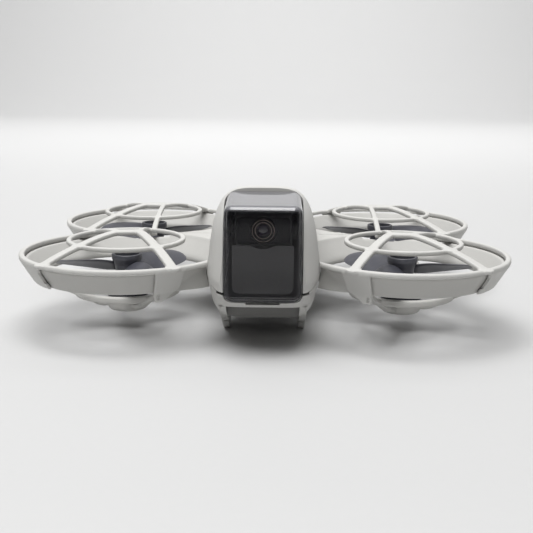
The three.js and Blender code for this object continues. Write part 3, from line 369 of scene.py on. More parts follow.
def soften(obj, width, segments=2, angle=38):
    """Rounds every edge sharper than an angle."""
    return apply_modifier(obj, "BEVEL", width=width, segments=segments, limit_method="ANGLE",
                          angle_limit=math.radians(angle), use_clamp_overlap=True)


def move(obj, x=0.0, y=0.0, z=0.0):
    obj.data.transform(Matrix.Translation((x, y, z)))
    return obj


def turn(obj, degrees, axis="Z"):
    obj.data.transform(Matrix.Rotation(math.radians(degrees), 4, axis))
    return obj


def twin(obj):
    """A separate copy with a mesh of its own."""
    copy = obj.copy()
    copy.data = obj.data.copy()
    bpy.context.scene.collection.objects.link(copy)
    return copy


def mirrored(obj, sx, sy):
    """A copy turned over about the middle planes, its faces still outwards."""
    copy = twin(obj)
    copy.data.transform(Matrix.Diagonal((sx, sy, 1, 1)))
    if sx * sy < 0:
        copy.data.flip_normals()
    return copy


def corner_copy(obj, corner):
    """A copy of a piece made in a duct's own frame, set down at that corner."""
    sx, sy = CORNERS[corner]
    copy = mirrored(obj, sx, sy)
    return move(copy, sx * ROTOR_X, -sy * ROTOR_Y)


def polar(radius, degrees):
    angle = math.radians(degrees)
    return radius * math.cos(angle), radius * math.sin(angle)


def finish(obj, name, body, materials, nodes=None, angle=32):
    """Names a piece, brings it to metres, paints it and lets it ride on its body."""
    obj.name = name
    obj.data.name = name
    obj.data.transform(Matrix.Scale(MM, 4))
    obj.data.update()
    if not isinstance(materials, (list, tuple)):
        materials = [materials]
    indices = [min(face.material_index, len(materials) - 1) for face in obj.data.polygons]
    obj.data.materials.clear()
    for material in materials:
        obj.data.materials.append(material)
    obj.data.polygons.foreach_set("material_index", indices)
    solo(obj)
    bpy.ops.object.shade_smooth_by_angle(angle=math.radians(angle))
    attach(obj, body)
    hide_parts(*(nodes or [name.replace("_piece", "")]))
    return obj


def paint(node, material):
    """Gives a frame node that stays as it is its own finish."""
    obj = frame["nodes"][node]
    obj.data.materials.clear()
    obj.data.materials.append(material)


# ---- Shader expressions ------------------------------------------------------------------------
class Signal:
    """A shader socket with arithmetic, so that masks are written as expressions."""

    def __init__(self, nodes, socket):
        self.nodes = nodes
        self.socket = socket

    def maths(self, operation, *values):
        return self.nodes.node("ShaderNodeMath", {"operation": operation}, {
            index: value for index, value in enumerate(values)})

    def __add__(self, other):
        return self.maths("ADD", self, other)

    __radd__ = __add__

    def __sub__(self, other):
        return self.maths("SUBTRACT", self, other)

    def __rsub__(self, other):
        return self.maths("SUBTRACT", other, self)

    def __mul__(self, other):
        return self.maths("MULTIPLY", self, other)

    __rmul__ = __mul__

    def __pow__(self, other):
        return self.maths("POWER", self, other)

    def above(self, edge, softness):
        """0 below an edge and 1 above it, with a soft step."""
        return self.nodes.node("ShaderNodeMapRange", {"interpolation_type": "SMOOTHSTEP"}, {
            "Value": self, "From Min": edge - softness, "From Max": edge + softness})


class Finish:
    """A material under construction."""

    def __init__(self, name):
        self.material = bpy.data.materials.new(name)
        self.material.use_nodes = True
        self.tree = self.material.node_tree
        self.shader = self.tree.nodes["Principled BSDF"]
        self.coordinates = self.node("ShaderNodeTexCoord", {}, {}, "Object")

    def node(self, kind, settings, values, output=0):
        made = self.tree.nodes.new(kind)
        for key, value in settings.items():
            if key == "stops":
                self.set_stops(made.color_ramp, value)
            else:
                setattr(made, key, value)
        for key, value in values.items():
            self.feed(made.inputs[key], value)
        return Signal(self, made.outputs[output])

    def feed(self, socket, value):
        if isinstance(value, Signal):
            self.tree.links.new(value.socket, socket)
        elif hasattr(value, "__len__") and socket.type == "RGBA":
            socket.default_value = (*value[:3], 1.0)
        else:
            socket.default_value = value

    @staticmethod
    def set_stops(ramp, stops):
        for index, (place, colour) in enumerate(stops):
            element = ramp.elements[index] if index < 2 else ramp.elements.new(place)
            element.position = place
            element.color = (*colour, 1.0)

    def set(self, **values):
        """Values or signals for the surface, by socket name with _ for a space."""
        for key, value in values.items():
            self.feed(self.shader.inputs[key.replace("_", " ")], value)
        return self

    def noise(self, size, detail=2.0, roughness=0.5, stretch=(1, 1, 1), distortion=0.0):
        """Cloudy noise whose features are about size millimetres across."""
        placed = self.node("ShaderNodeMapping", {}, {"Vector": self.coordinates, "Scale": stretch})
        return self.node("ShaderNodeTexNoise", {}, {
            "Vector": placed, "Scale": 1.0 / (size * MM), "Detail": detail, "Roughness": roughness,
            "Distortion": distortion})

    def place(self, axis):
        """The height, or the place along X or Y, in millimetres."""
        split = self.node("ShaderNodeSeparateXYZ", {}, {"Vector": self.coordinates}, axis)
        return split * (1 / MM)

    def mix(self, share, first, second):
        return self.node("ShaderNodeMix", {"data_type": "RGBA"}, {0: share, 6: first, 7: second}, 2)

    def bump(self, height, strength, distance):
        self.set(Normal=self.node("ShaderNodeBump", {}, {
            "Height": height, "Strength": strength, "Distance": distance * MM}))
        return self


def shade(colour, factor):
    return tuple(min(1.0, channel * factor) for channel in colour)


def moulded_grey(name, colour, roughness, dust=0.05, sheen=1.04):
    """Spark-eroded matte plastic: a fine grain, slow tone changes, rubbed patches and a little dust."""
    look = Finish(name)
    grain = look.noise(0.28, 2.0, 0.6)
    clouds = look.noise(16.0, 3.0, 0.55)
    rubbed = look.noise(5.0, 4.0, 0.62, stretch=(1, 0.5, 1), distortion=0.4)
    specks = look.noise(0.7, 1.0, 0.4).above(0.74, 0.03)
    base = look.mix(clouds, shade(colour, 0.965), shade(colour, sheen))
    base = look.mix(grain * 0.22, base, shade(colour, 0.86))
    base = look.mix(specks * dust, base, shade(colour, 0.55))
    worn = rubbed.above(0.6, 0.08)
    look.set(Base_Color=base, Roughness=roughness + 0.06 * grain - 0.10 * worn + 0.04 * clouds)
    look.set(**{"Specular IOR Level": 0.42})
    return look.bump(grain + 0.35 * rubbed, 0.16, 0.06).material


def blade_plastic(name, colour):
    """Satin glass-filled plastic with faint flow lines."""
    look = Finish(name)
    flow = look.noise(1.6, 4.0, 0.6, stretch=(0.3, 1, 1), distortion=0.8)
    grain = look.noise(0.25, 2.0, 0.6)
    dust = look.noise(6.0, 4.0, 0.65).above(0.62, 0.1)
    base = look.mix(flow, shade(colour, 0.85), shade(colour, 1.2))
    base = look.mix(dust * 0.12, base, (0.30, 0.30, 0.31))
    look.set(Base_Color=base, Roughness=0.34 + 0.10 * flow + 0.08 * dust)
    return look.bump(flow + 0.5 * grain, 0.12, 0.05).material


def black_moulding(name, colour=(0.012, 0.012, 0.013), roughness=0.5):
    look = Finish(name)
    grain = look.noise(0.22, 2.0, 0.6)
    clouds = look.noise(4.0, 3.0)
    base = look.mix(clouds, shade(colour, 0.75), shade(colour, 1.5))
    look.set(Base_Color=base, Roughness=roughness + 0.12 * grain - 0.05 * clouds)
    return look.bump(grain, 0.2, 0.05).material


def gloss_black(name, specular=0.5):
    """Polished black lens plate with hairline wipe marks."""
    look = Finish(name)
    wipes = look.noise(1.2, 5.0, 0.7, stretch=(0.15, 1, 1), distortion=0.6)
    base = look.mix(wipes, (0.004, 0.004, 0.005), (0.009, 0.009, 0.011))
    look.set(Base_Color=base, Roughness=0.10 + 0.10 * wipes.above(0.58, 0.15))
    look.set(**{"Specular IOR Level": specular})
    return look.bump(wipes, 0.01, 0.01).material


def smoked_clear(name, tint):
    """Smoked clear glossy plastic, see-through in front and faintly scuffed; painted reflections make its top
    light grey and nearly opaque and lighten it at grazing angles.
    """
    look = Finish(name)
    scuffs = look.noise(0.8, 5.0, 0.7, stretch=(1, 1, 0.12), distortion=0.5).above(0.64, 0.05)
    haze = look.noise(7.0, 3.0)
    # Painted reflection: at grazing angles the tint is lightened and the cover made more opaque, standing in
    # for bright light mirrored along its rounded edges.
    glance_painted_reflection = look.node("ShaderNodeLayerWeight", {}, {"Blend": 0.4}, "Facing")
    # Painted reflection: above this height the cover is painted light grey and made nearly opaque, standing
    # in for the overhead light mirrored in its top.
    roof = look.place("Z").above(COVER_HIGH.z - 3.2, 0.7)
    base = look.mix(haze, shade(tint, 0.8), shade(tint, 1.3))
    base = look.mix(scuffs * 0.4, base, (0.20, 0.20, 0.21))
    base = look.mix(glance_painted_reflection * 0.8, base, (0.10, 0.10, 0.118))
    base = look.mix(roof, base, (0.15, 0.15, 0.162))
    clear = 0.10 + 0.76 * glance_painted_reflection ** 1.4 + 0.03 * scuffs
    look.set(Base_Color=base, Alpha=clear + (0.94 - clear) * roof, Roughness=0.06 + 0.01 * scuffs,
                  Coat_Weight=1.0)
    look.set(IOR=1.5)
    look.material.surface_render_method = "BLENDED"
    return look.bump(haze, 0.004, 0.02).material


def panel_grey(name, colour):
    """Dark panel behind the cover with faint brushed streaks, and painted shade darkening its lower edge."""
    look = Finish(name)
    grain = look.noise(0.3, 2.0, 0.6)
    streaks = look.noise(2.2, 3.0, 0.6, stretch=(1, 1, 0.15))
    # Painted shade: the panel's colour darkens towards its lower edge.
    height = look.place("Z").above(MASK_LOW.z + 4.5, 4.5)
    base = look.mix(streaks, shade(colour, 0.85), shade(colour, 1.2))
    base = look.mix(height, shade(colour, 0.55), base)
    look.set(Base_Color=base, Roughness=0.42 + 0.12 * grain)
    return look.bump(grain, 0.12, 0.04).material


def coated_glass(name, tint):
    """Lens glass with an anti-reflection coating that turns purple and green."""
    look = Finish(name)
    facing = look.node("ShaderNodeLayerWeight", {}, {"Blend": 0.45}, "Facing")
    colour = look.node("ShaderNodeValToRGB", {"stops": [
        (0.0, tint), (0.45, (0.05, 0.015, 0.09)), (1.0, (0.02, 0.07, 0.05))]}, {"Fac": facing}, "Color")
    smear = look.noise(1.0, 3.0)
    look.set(Base_Color=colour, Roughness=0.02 + 0.05 * smear, Coat_Weight=1.0)
    return look.bump(smear, 0.01, 0.01).material


def turned_metal(name, colour, roughness=0.28, grain=0.25):
    """Metal with fine tool marks."""
    look = Finish(name)
    marks = look.noise(grain, 3.0, 0.65, stretch=(1, 1, 6))
    tarnish = look.noise(3.0, 3.0)
    base = look.mix(tarnish, shade(colour, 0.8), shade(colour, 1.1))
    look.set(Base_Color=base, Metallic=1.0, Roughness=roughness + 0.18 * marks)
    return look.bump(marks, 0.12, 0.03).material


def wound_copper(name, colour):
    """Enamelled wire laid turn by turn."""
    look = Finish(name)
    turns = look.node("ShaderNodeTexWave", {"wave_type": "BANDS", "bands_direction": "Z"}, {
        "Vector": look.coordinates, "Scale": 1250.0, "Distortion": 0.6})
    patches = look.noise(1.5, 3.0)
    base = look.mix(turns, shade(colour, 0.35), look.mix(patches, colour, shade(colour, 1.4)))
    look.set(Base_Color=base, Metallic=0.9, Roughness=0.34 + 0.15 * patches, Coat_Weight=0.5)
    return look.bump(turns, 0.6, 0.12).material


def circuit_board(name, colour):
    """Solder mask over etched tracks, with silver pads."""
    look = Finish(name)
    tracks = look.node("ShaderNodeTexBrick", {"offset": 0.5}, {
        "Vector": look.coordinates, "Scale": 420.0, "Mortar Size": 0.06, "Mortar Smooth": 0.3}, "Fac")
    pads = look.node("ShaderNodeTexVoronoi", {}, {
        "Vector": look.coordinates, "Scale": 700.0}, "Distance").above(0.16, 0.03)
    clouds = look.noise(3.0, 3.0)
    base = look.mix(tracks, look.mix(clouds, colour, shade(colour, 1.3)), shade(colour, 2.2))
    base = look.mix(pads, (0.65, 0.66, 0.64), base)
    look.set(Base_Color=base, Metallic=0.8 * (1 - pads), Roughness=0.3 + 0.15 * clouds)
    return look.bump(tracks * 0.6 + pads, 0.3, 0.05).material


def frosted_lamp(name):
    look = Finish(name)
    cloud = look.noise(0.6, 2.0)
    base = look.mix(cloud, (0.62, 0.66, 0.64), (0.80, 0.83, 0.80))
    look.set(Base_Color=base, Roughness=0.42 + 0.1 * cloud)
    return look.bump(cloud, 0.1, 0.03).material


def wrapped_cell(name, colour=(0.05, 0.05, 0.055)):
    """Shrink film over a pouch cell, with soft wrinkles."""
    look = Finish(name)
    wrinkles = look.noise(4.0, 4.0, 0.6, stretch=(1, 0.25, 1), distortion=1.0)
    base = look.mix(wrinkles, shade(colour, 0.7), shade(colour, 1.5))
    look.set(Base_Color=base, Roughness=0.28 + 0.2 * wrinkles)
    return look.bump(wrinkles, 0.5, 0.4).material


def fired_ceramic(name, colour=(0.55, 0.42, 0.20)):
    look = Finish(name)
    pores = look.noise(0.4, 3.0, 0.6)
    clouds = look.noise(4.0, 2.0)
    base = look.mix(clouds, shade(colour, 0.9), shade(colour, 1.1))
    look.set(Base_Color=base, Roughness=0.45 + 0.2 * pores)
    return look.bump(pores, 0.25, 0.05).material


def make_finishes():
    """Every material once, by a maker's name."""
    colours = bpy.context.scene.drone_finish
    matte = colours.shell_roughness
    return {
        "shell": moulded_grey("shell_grey", tuple(colours.shell), matte),
        "belly": moulded_grey("belly_grey", shade(tuple(colours.shell), 0.94), matte + 0.04, dust=0.12),
        "guard": moulded_grey("guard_grey", tuple(colours.shell), matte - 0.02, dust=0.06),
        "duct": moulded_grey("duct_grey", tuple(colours.frame), matte + 0.02),
        "key": moulded_grey("key_grey", shade(tuple(colours.shell), 0.9), matte - 0.1),
        "blade": blade_plastic("blade_grey", tuple(colours.blade)),
        "black": black_moulding("black_moulding"),
        "rubber": black_moulding("dark_latch", (0.23, 0.228, 0.22), 0.6),
        "gloss": gloss_black("gloss_black"),
        "camera": gloss_black("camera_black", 0.12),
        # Painted shade: a much darker copy of the shell grey for the hollow under the chin.
        "recess": moulded_grey("recess_painted_shade_grey", shade(tuple(colours.shell), 0.34), matte + 0.1),
        "cover": smoked_clear("smoked_clear", tuple(colours.smoke)),
        "mask": panel_grey("panel_grey", tuple(colours.mask)),
        "glass": coated_glass("lens_glass", (0.006, 0.005, 0.012)),
        "steel": turned_metal("screw_steel", (0.58, 0.58, 0.60)),
        "dark_metal": turned_metal("bell_anodised", (0.045, 0.045, 0.052), 0.32),
        "rim": turned_metal("lens_rim", (0.34, 0.27, 0.24), 0.3),
        "copper": wound_copper("winding_copper", tuple(colours.copper)),
        "board": circuit_board("circuit_board", tuple(colours.board)),
        "lamp": frosted_lamp("lamp_frosted"),
        "cell": wrapped_cell("cell_film"),
        "ceramic": fired_ceramic("antenna_ceramic"),
    }


FINISHES = {}


# ---- The body's outer form -------------------------------------------------------------------------
def smooth_through(places, values):
    """A curve through the points that never overshoots them, as a function of the place."""
    spans = [b - a for a, b in zip(places, places[1:])]
    slopes = [(b - a) / span for a, b, span in zip(values, values[1:], spans)]
    tangents = [slopes[0]]
    for before, after in zip(slopes, slopes[1:]):
        tangents.append(0.0 if before * after <= 0 else 2 * before * after / (before + after))
    tangents.append(slopes[-1])

    def curve(place):
        index = max(i for i in range(len(spans)) if i == 0 or places[i] <= place)
        span = spans[index]
        t = min(max((place - places[index]) / span, 0.0), 1.0)
        return (values[index] * (1 + 2 * t) * (1 - t) ** 2 + tangents[index] * span * t * (1 - t) ** 2
                + values[index + 1] * t * t * (3 - 2 * t) + tangents[index + 1] * span * t * t * (t - 1))

    return curve


def curves_through(stations):
    """One smooth curve for each column of a table whose first column is the place."""
    places, *columns = zip(*stations)
    return [smooth_through(places, values) for values in columns]


# Places along the body: [y, half width, top, bottom].
STATIONS = [
    (SHELL_LOW.y, HALF_WIDTH - 5.0, COVER_HIGH.z - 3.5, COVER_LOW.z - 0.4),
    (NOSE + 6, HALF_WIDTH - 3.1, COVER_HIGH.z - 1.6, BELLY + 8.1),
    (NOSE + 10, HALF_WIDTH - 1.5, COVER_HIGH.z - 0.4, BELLY + 5.0),
    (NOSE + 15, HALF_WIDTH - 0.5, CROWN - 0.7, BELLY + 2.6),
    (NOSE + 21, HALF_WIDTH, CROWN, BELLY + 1.0),
    (NOSE + 27, HALF_WIDTH, CROWN - 0.6, BELLY + 0.2),
    (NOSE + 38, HALF_WIDTH, CROWN - 2.0, BELLY),
    (NOSE + 56, HALF_WIDTH, CROWN - 4.6, BELLY),
    (NOSE + 78, HALF_WIDTH, CROWN - 8.0, BELLY),
    (TAIL - 30, HALF_WIDTH - 0.2, TAIL_TOP + 4.2, BELLY),
    (TAIL - 15, HALF_WIDTH - 0.7, TAIL_TOP + 1.3, BELLY + 0.3),
    (SHELL_HIGH.y, HALF_WIDTH - 1.2, TAIL_TOP, BELLY + 0.9),
]
WIDTH_AT, TOP_AT, BOTTOM_AT = curves_through(STATIONS)
UPPER_POWER, LOWER_POWER = 4.2, 5.5
UPPER_TAPER, LOWER_TAPER = 0.11, 0.2


def body_ring(y, half_width, top, bottom, inset=0.0, count=112):
    """One section of the body: a soft-cornered oval in two halves."""
    ring = []
    for index in range(count):
        angle = 2 * math.pi * index / count
        across, up = math.cos(angle), math.sin(angle)
        upper = up >= 0
        power = UPPER_POWER if upper else LOWER_POWER
        reach = (abs(across) ** power + abs(up) ** power) ** (-1 / power)
        height = (top - inset - BELT) if upper else (BELT - bottom - inset)
        rise = height * abs(up) * reach
        side = (half_width - inset - rise * (UPPER_TAPER if upper else LOWER_TAPER)) * across * reach
        ring.append((side, y, BELT + (rise if upper else -rise)))
    return ring


def body_form(inset=0.0, front=None, rear=None, rows=96):
    """The closed outer form of both shells, grown or shrunk by an inset."""
    y0 = SHELL_LOW.y if front is None else front
    y1 = SHELL_HIGH.y if rear is None else rear
    places = [y0 + (y1 - y0) * row / rows for row in range(rows + 1)]
    return loft([body_ring(y, WIDTH_AT(y), TOP_AT(y), BOTTOM_AT(y), inset) for y in places])


def below_belt(gap):
    """Everything under the parting line, which dips towards the nose."""
    return slab([(NOSE - 5, -5), (TAIL + 5, -5), (TAIL + 5, BELT - gap), (NOSE + 17, BELT - gap),
                 (NOSE + 5, BELT - 2.9 - gap), (NOSE - 5, BELT - 2.9 - gap)], -3 * HALF_WIDTH, 3 * HALF_WIDTH)


def battery_bay():
    side = 14.1 + GAP
    return block(-side, side, CASE_LOW.y - 1, SHELL_HIGH.y + 5, CASE_LOW_PACK - GAP, PACK_TOP + GAP)


CASE_LOW_PACK = BELLY + 1.9                 # floor of the battery pack
PACK_TOP = 27.0
COVER_HALF = COVER_HIGH.x
COVER_REAR = COVER_HIGH.y


def cover_bay():
    """The opening that the clear cover fills, its corners rounded from above and from the front."""
    half, rear, floor, roof = COVER_HALF + GAP, COVER_REAR + GAP, COVER_LOW.z - GAP, CROWN + 5
    above = rounded([(-half, NOSE - 1, 0), (half, NOSE - 1, 0), (half, rear, 3.2), (-half, rear, 3.2)], 0, 8)
    bay = plate(above, floor - 1, roof)
    front = rounded([(-half, floor, 2.8), (half, floor, 2.8), (half, roof, 0), (-half, roof, 0)], 0, 8)
    return boolean(bay, pushed([(x, NOSE - 2, z) for x, z in front], (0, rear - NOSE + 4, 0)), "INTERSECT")


BUTTONS = {"power_button": limits("power_button"), "mode_button": limits("mode_button")}
LAMPS_ROW_Y = BUTTONS["power_button"][1].y + 4
LAMP_RADIUS = 0.7


def button_place(name):
    low, high = BUTTONS[name]
    return (low.y + high.y) / 2, (high.y - low.y) / 2


def lamp_places():
    row = [(n * 3.2, LAMPS_ROW_Y) for n in (-1.5, -0.5, 0.5, 1.5)]
    centre, _ = button_place("mode_button")
    arc = [(x, centre - y) for x, y in (polar(7.4, degrees) for degrees in (200, 156, 112, 68, 24, -20))]
    return row, arc


class DRONE_OT_upper_shell(bpy.types.Operator):
    """Models the upper half of the body with its openings for the camera cover, buttons and lamps"""
    bl_idname = "drone.upper_shell"
    bl_label = "Upper Shell"

    def execute(self, context):
        size = shape()
        shell = body_form()
        cut(shell, body_form(size["shell_wall"], SHELL_LOW.y + 1.6, SHELL_HIGH.y - 1.6), battery_bay(),
            below_belt(0), cover_bay())
        for name in BUTTONS:
            y, radius = button_place(name)
            cut(shell, rod(radius + GAP, (0, y, TOP_AT(y) - 9), (0, y, TOP_AT(y) + 5), 64))
        row, arc = lamp_places()
        for x, y in row + arc:
            cut(shell, rod(LAMP_RADIUS + 0.12, (x, y, BELT + 5), (x, y, CROWN + 5), 20))
        soften(shell, size["edge"])
        finish(shell, "upper_shell_piece", "airframe", FINISHES["shell"])
        return {"FINISHED"}


FEET = (
    [(NOSE + 7.2, BELLY + 8, 0), (NOSE + 34, 0, 1.5), (NOSE + 39, 0, 1.5), (NOSE + 43, BELLY + 0.8, 0),
     (NOSE + 30, BELLY + 0.8, 0)],
    [(TAIL - 31, BELLY + 0.8, 0), (TAIL - 26, 0, 1.5), (TAIL - 21, 0, 1.5), (TAIL - 12, BELLY + 1.6, 0)],
)
FOOT_SPREAD = 12.2
FOOT_HALF = 1.0
VENTS = [NOSE + 50 + n * 3.4 for n in range(6)]
VENT_HALF, VENT_WIDTH = 5.5, 1.5
SCREW_WELL = 1.8


class DRONE_OT_lower_shell(bpy.types.Operator):
    """Models the belly with its feet, vents, sensor opening, screw wells and port"""
    bl_idname = "drone.lower_shell"
    bl_label = "Lower Shell"

    def execute(self, context):
        size = shape()
        shell = body_form()
        boolean(shell, below_belt(GAP), "INTERSECT")
        for outline in FEET:
            for side in (-1, 1):
                x = side * FOOT_SPREAD
                fuse(shell, slab(rounded(outline, 0, 5), x - FOOT_HALF, x + FOOT_HALF))
        inside = cut(body_form(size["shell_wall"], SHELL_LOW.y + 1.6, SHELL_HIGH.y - 1.6),
                     self.chin_recess(size["shell_wall"]))
        cut(shell, self.chin_recess(0.0), inside, battery_bay(), cover_bay())
        window = framed(-WINDOW_HIGH.x, WINDOW_HIGH.x, WINDOW_LOW.y, WINDOW_HIGH.y, 1.6, GAP)
        cut(shell, plate(window, BELLY - 2, BELLY + 4))
        for y in VENTS:
            slot = framed(-VENT_HALF, VENT_HALF, y, y + VENT_WIDTH, 0.74)
            cut(shell, plate(slot, BELLY - 2, BELLY + 3))
        for number in range(1, 5):
            low, high = limits(f"belly_screw_{number}")
            x, y = (low.x + high.x) / 2, (low.y + high.y) / 2
            cut(shell, rod(SCREW_WELL, (x, y, BELLY - 2), (x, y, BELLY + 5), 32))
        cut(shell, block(-5, 5, NOSE - 1, SHELL_LOW.y + 2.4, COVER_LOW.z - 1.1, COVER_LOW.z))
        for side in (-1, 1):
            x0, x1 = sorted((side * (COVER_HALF + 0.1), side * (COVER_HALF + 2.3)))
            cut(shell, block(x0, x1, NOSE - 1, NOSE + 8, BELT - 3.75, BELT - 2.8))
        port = framed(USB_LOW.y, USB_HIGH.y, USB_LOW.z, USB_HIGH.z, 1.6, GAP)
        cut(shell, slab(port, HALF_WIDTH - 5, HALF_WIDTH + 3))
        soften(shell, size["edge"])
        # Faces set back or facing down in the hollow under the chin get the darker recess grey, which is
        # painted shade.
        for face in shell.data.polygons:
            x, y, z = face.center
            under_chin = NOSE - 1 < y < NOSE + 19.5 and BELLY < z < COVER_LOW.z - 1.6
            shaded = y > NOSE + 12 or face.normal.z < -0.8
            face.material_index = int(abs(x) < FOOT_SPREAD - 1 and under_chin and shaded)
        finish(shell, "lower_shell_piece", "airframe", [FINISHES["belly"], FINISHES["recess"]])
        return {"FINISHED"}

    @staticmethod
    def chin_recess(margin):
        """The hollow under the chin between the front feet."""
        half = FOOT_SPREAD - FOOT_HALF - 0.3 + margin
        roof = COVER_LOW.z - 1.7 + margin
        outline = rounded([(NOSE - 2, roof, 0), (NOSE + 14 + margin, COVER_LOW.z - 2.8 + margin, 2.0),
                           (NOSE + 18.5 + margin, BELLY - 2, 0), (NOSE - 2, BELLY - 2, 0)], 0, 8)
        return slab(outline, -half, half)


# ---- Ducts: modelled in a duct's own frame, +X outwards, +Y towards the next duct -------------------
OUTER_THROAT, OUTER_MOUTH = THROAT + DUCT_WALL, MOUTH + DUCT_WALL
DECK_INNER, DECK_OUTER = -ROTOR_X, -ROTOR_X + HALF_WIDTH + 17
LEG_FRONT_OUT, LEG_BACK_OUT, LEG_FRONT_IN, LEG_TURN = -51, 52, -124, 4.5


def next_duct():
    """Everything past the plane between the front and the rear ducts."""
    return block(-90, 90, ROTOR_Y - GAP / 2, 120, -5, 60)


def body_from_duct(pair):
    """The body, a gap larger, as a duct of the front or of the rear pair sees it."""
    form = body_form(-GAP, SHELL_LOW.y - GAP, SHELL_HIGH.y + GAP, 80)
    if pair == "rear":
        form.data.transform(Matrix.Diagonal((1, -1, 1, 1)))
        form.data.flip_normals()
    return move(form, -ROTOR_X, ROTOR_Y)


def set_down(piece, name, pair, material, angle=32):
    """Puts a finished shape down on the left and the right of its pair."""
    for corner in CORNERS:
        if corner.startswith(pair):
            copy = corner_copy(piece, corner)
            finish(copy, f"{name}_{corner}_piece", "airframe", material, [f"{name}_{corner}"], angle)
    bpy.data.objects.remove(piece)


def air_path():
    """The space of the air: a straight throat that flares to the mouth."""
    return turned([(0, BAND_BOTTOM - 20), (THROAT, BAND_BOTTOM - 20), (THROAT, BAND_BOTTOM + 1.3),
                   (THROAT + 0.5, BAND_BOTTOM + 2.3), (MOUTH, BAND_TOP), (MOUTH + 1.1, RIDGE + 0.1),
                   (MOUTH + 1.1, 60), (0, 60)])


class DRONE_OT_ducts(bpy.types.Operator):
    """Models the four duct bands with the decks that tie them to the body"""
    bl_idname = "drone.ducts"
    bl_label = "Ducts"

    def execute(self, context):
        size = shape()
        for pair in ("front", "rear"):
            band = turned(rounded([
                (THROAT, BAND_BOTTOM), (OUTER_THROAT, BAND_BOTTOM), (OUTER_MOUTH, BAND_TOP),
                (MOUTH, BAND_TOP), (THROAT, BAND_BOTTOM + 1.3, 3.0)], 0.35, 4))
            deck = plate(section(DECK_INNER, DECK_OUTER, 6, ROTOR_Y + 1.5), BAND_BOTTOM, RIDGE)
            angles = [-128 - 22 * share for share in (0, 0.25, 0.5, 0.75, 1)]
            outer = [polar(OUTER_THROAT + 0.2 + (OUTER_MOUTH + 0.3 - OUTER_THROAT) * (n / 4) ** 0.8, angle)
                     for n, angle in enumerate(angles)]
            inner = [polar(THROAT + DUCT_WALL / 2, angle) for angle in (angles[4], angles[2], angles[0])]
            fairing = plate(outer + [(DECK_INNER, outer[4][1]), (DECK_INNER, inner[0][1])] + inner,
                            BAND_BOTTOM, BAND_TOP)
            path = air_path()
            cut(deck, twin(path))
            cut(fairing, path)
            duct = moulded([band, deck, fairing], size["duct_grain"], 5)
            cut(duct, next_duct(), body_from_duct(pair))
            set_down(duct, "duct", pair, FINISHES["duct"], 50)
        return {"FINISHED"}


GUARD_RING, GUARD_RING_WIDTH, GUARD_RING_TOP = 19.0, 1.6, 29.9
SPOKE_WIDTH, BACK_SPOKE_WIDTH, SPOKE_THICKNESS = 3.0, 1.9, 1.5
HUB_OUT, HUB_IN = (2.8, 0.0), (-4.0, 1.0)
LIP_WIDTH = 1.8


def spoke_path(start, end, steps=26):
    """Points along a guard spoke: over the rotor, across the ring, and down to the lip."""
    ring = GUARD_RING - GUARD_RING_WIDTH / 2
    reach = math.hypot(*end)
    path = []
    for step in range(steps + 1):
        share = step / steps
        x = start[0] + (end[0] - start[0]) * share
        y = start[1] + (end[1] - start[1]) * share
        radius = math.hypot(x, y)
        if radius < ring:
            height = GUARD_CROWN - (GUARD_CROWN - GUARD_RING_TOP) * (radius / ring) ** 2
        else:
            height = GUARD_RING_TOP - (GUARD_RING_TOP - LIP_TOP) * ((radius - ring) / (reach - ring)) ** 1.3
        path.append((x, y, height - SPOKE_THICKNESS / 2))
    return path


def wedge(start, end, z0, z1):
    """A sector of directions, in degrees from +X."""
    steps = max(2, math.ceil((end - start) / 20))
    rim = [polar(3 * LIP, start + (end - start) * step / steps) for step in range(steps + 1)]
    return plate([(0, 0)] + rim, z0, z1)


def leg_form():
    """The space of the inner front leg: a straight outer edge and an inner side that sweeps into the duct."""
    outer, foot = 2.9, 1.95
    outline = rounded([(foot - 2.6, LEG_BOTTOM, 1.2), (foot, LEG_BOTTOM, 0.6), (outer, BAND_TOP - 1, 0.5),
                       (outer, LIP_TOP + 5, 0), (-6.4, LIP_TOP + 5, 0), (-6.0, BAND_BOTTOM + 1.2, 2.5)], 0)
    return turn(slab(outline, OUTER_THROAT - 3, LIP + 3), LEG_FRONT_IN + LEG_TURN)


def skirt():
    """The guard's outer wall, which grips the duct band from outside."""
    offset, wall = GAP + 0.1, 0.9
    slant = (OUTER_MOUTH - OUTER_THROAT) / (BAND_TOP - BAND_BOTTOM)
    return turned([
        (OUTER_THROAT + offset, BAND_BOTTOM), (OUTER_THROAT + offset, LEG_BOTTOM),
        (OUTER_THROAT + offset + wall, LEG_BOTTOM), (OUTER_THROAT + offset + wall, BAND_BOTTOM),
        (LIP, BAND_TOP + GAP), (LIP, BAND_TOP + 2 * GAP), (LIP - LIP_WIDTH, BAND_TOP + 2 * GAP),
        (LIP - LIP_WIDTH, BAND_TOP + GAP), (OUTER_THROAT + offset + slant * (BAND_TOP + GAP - BAND_BOTTOM),
                                            BAND_TOP + GAP)])


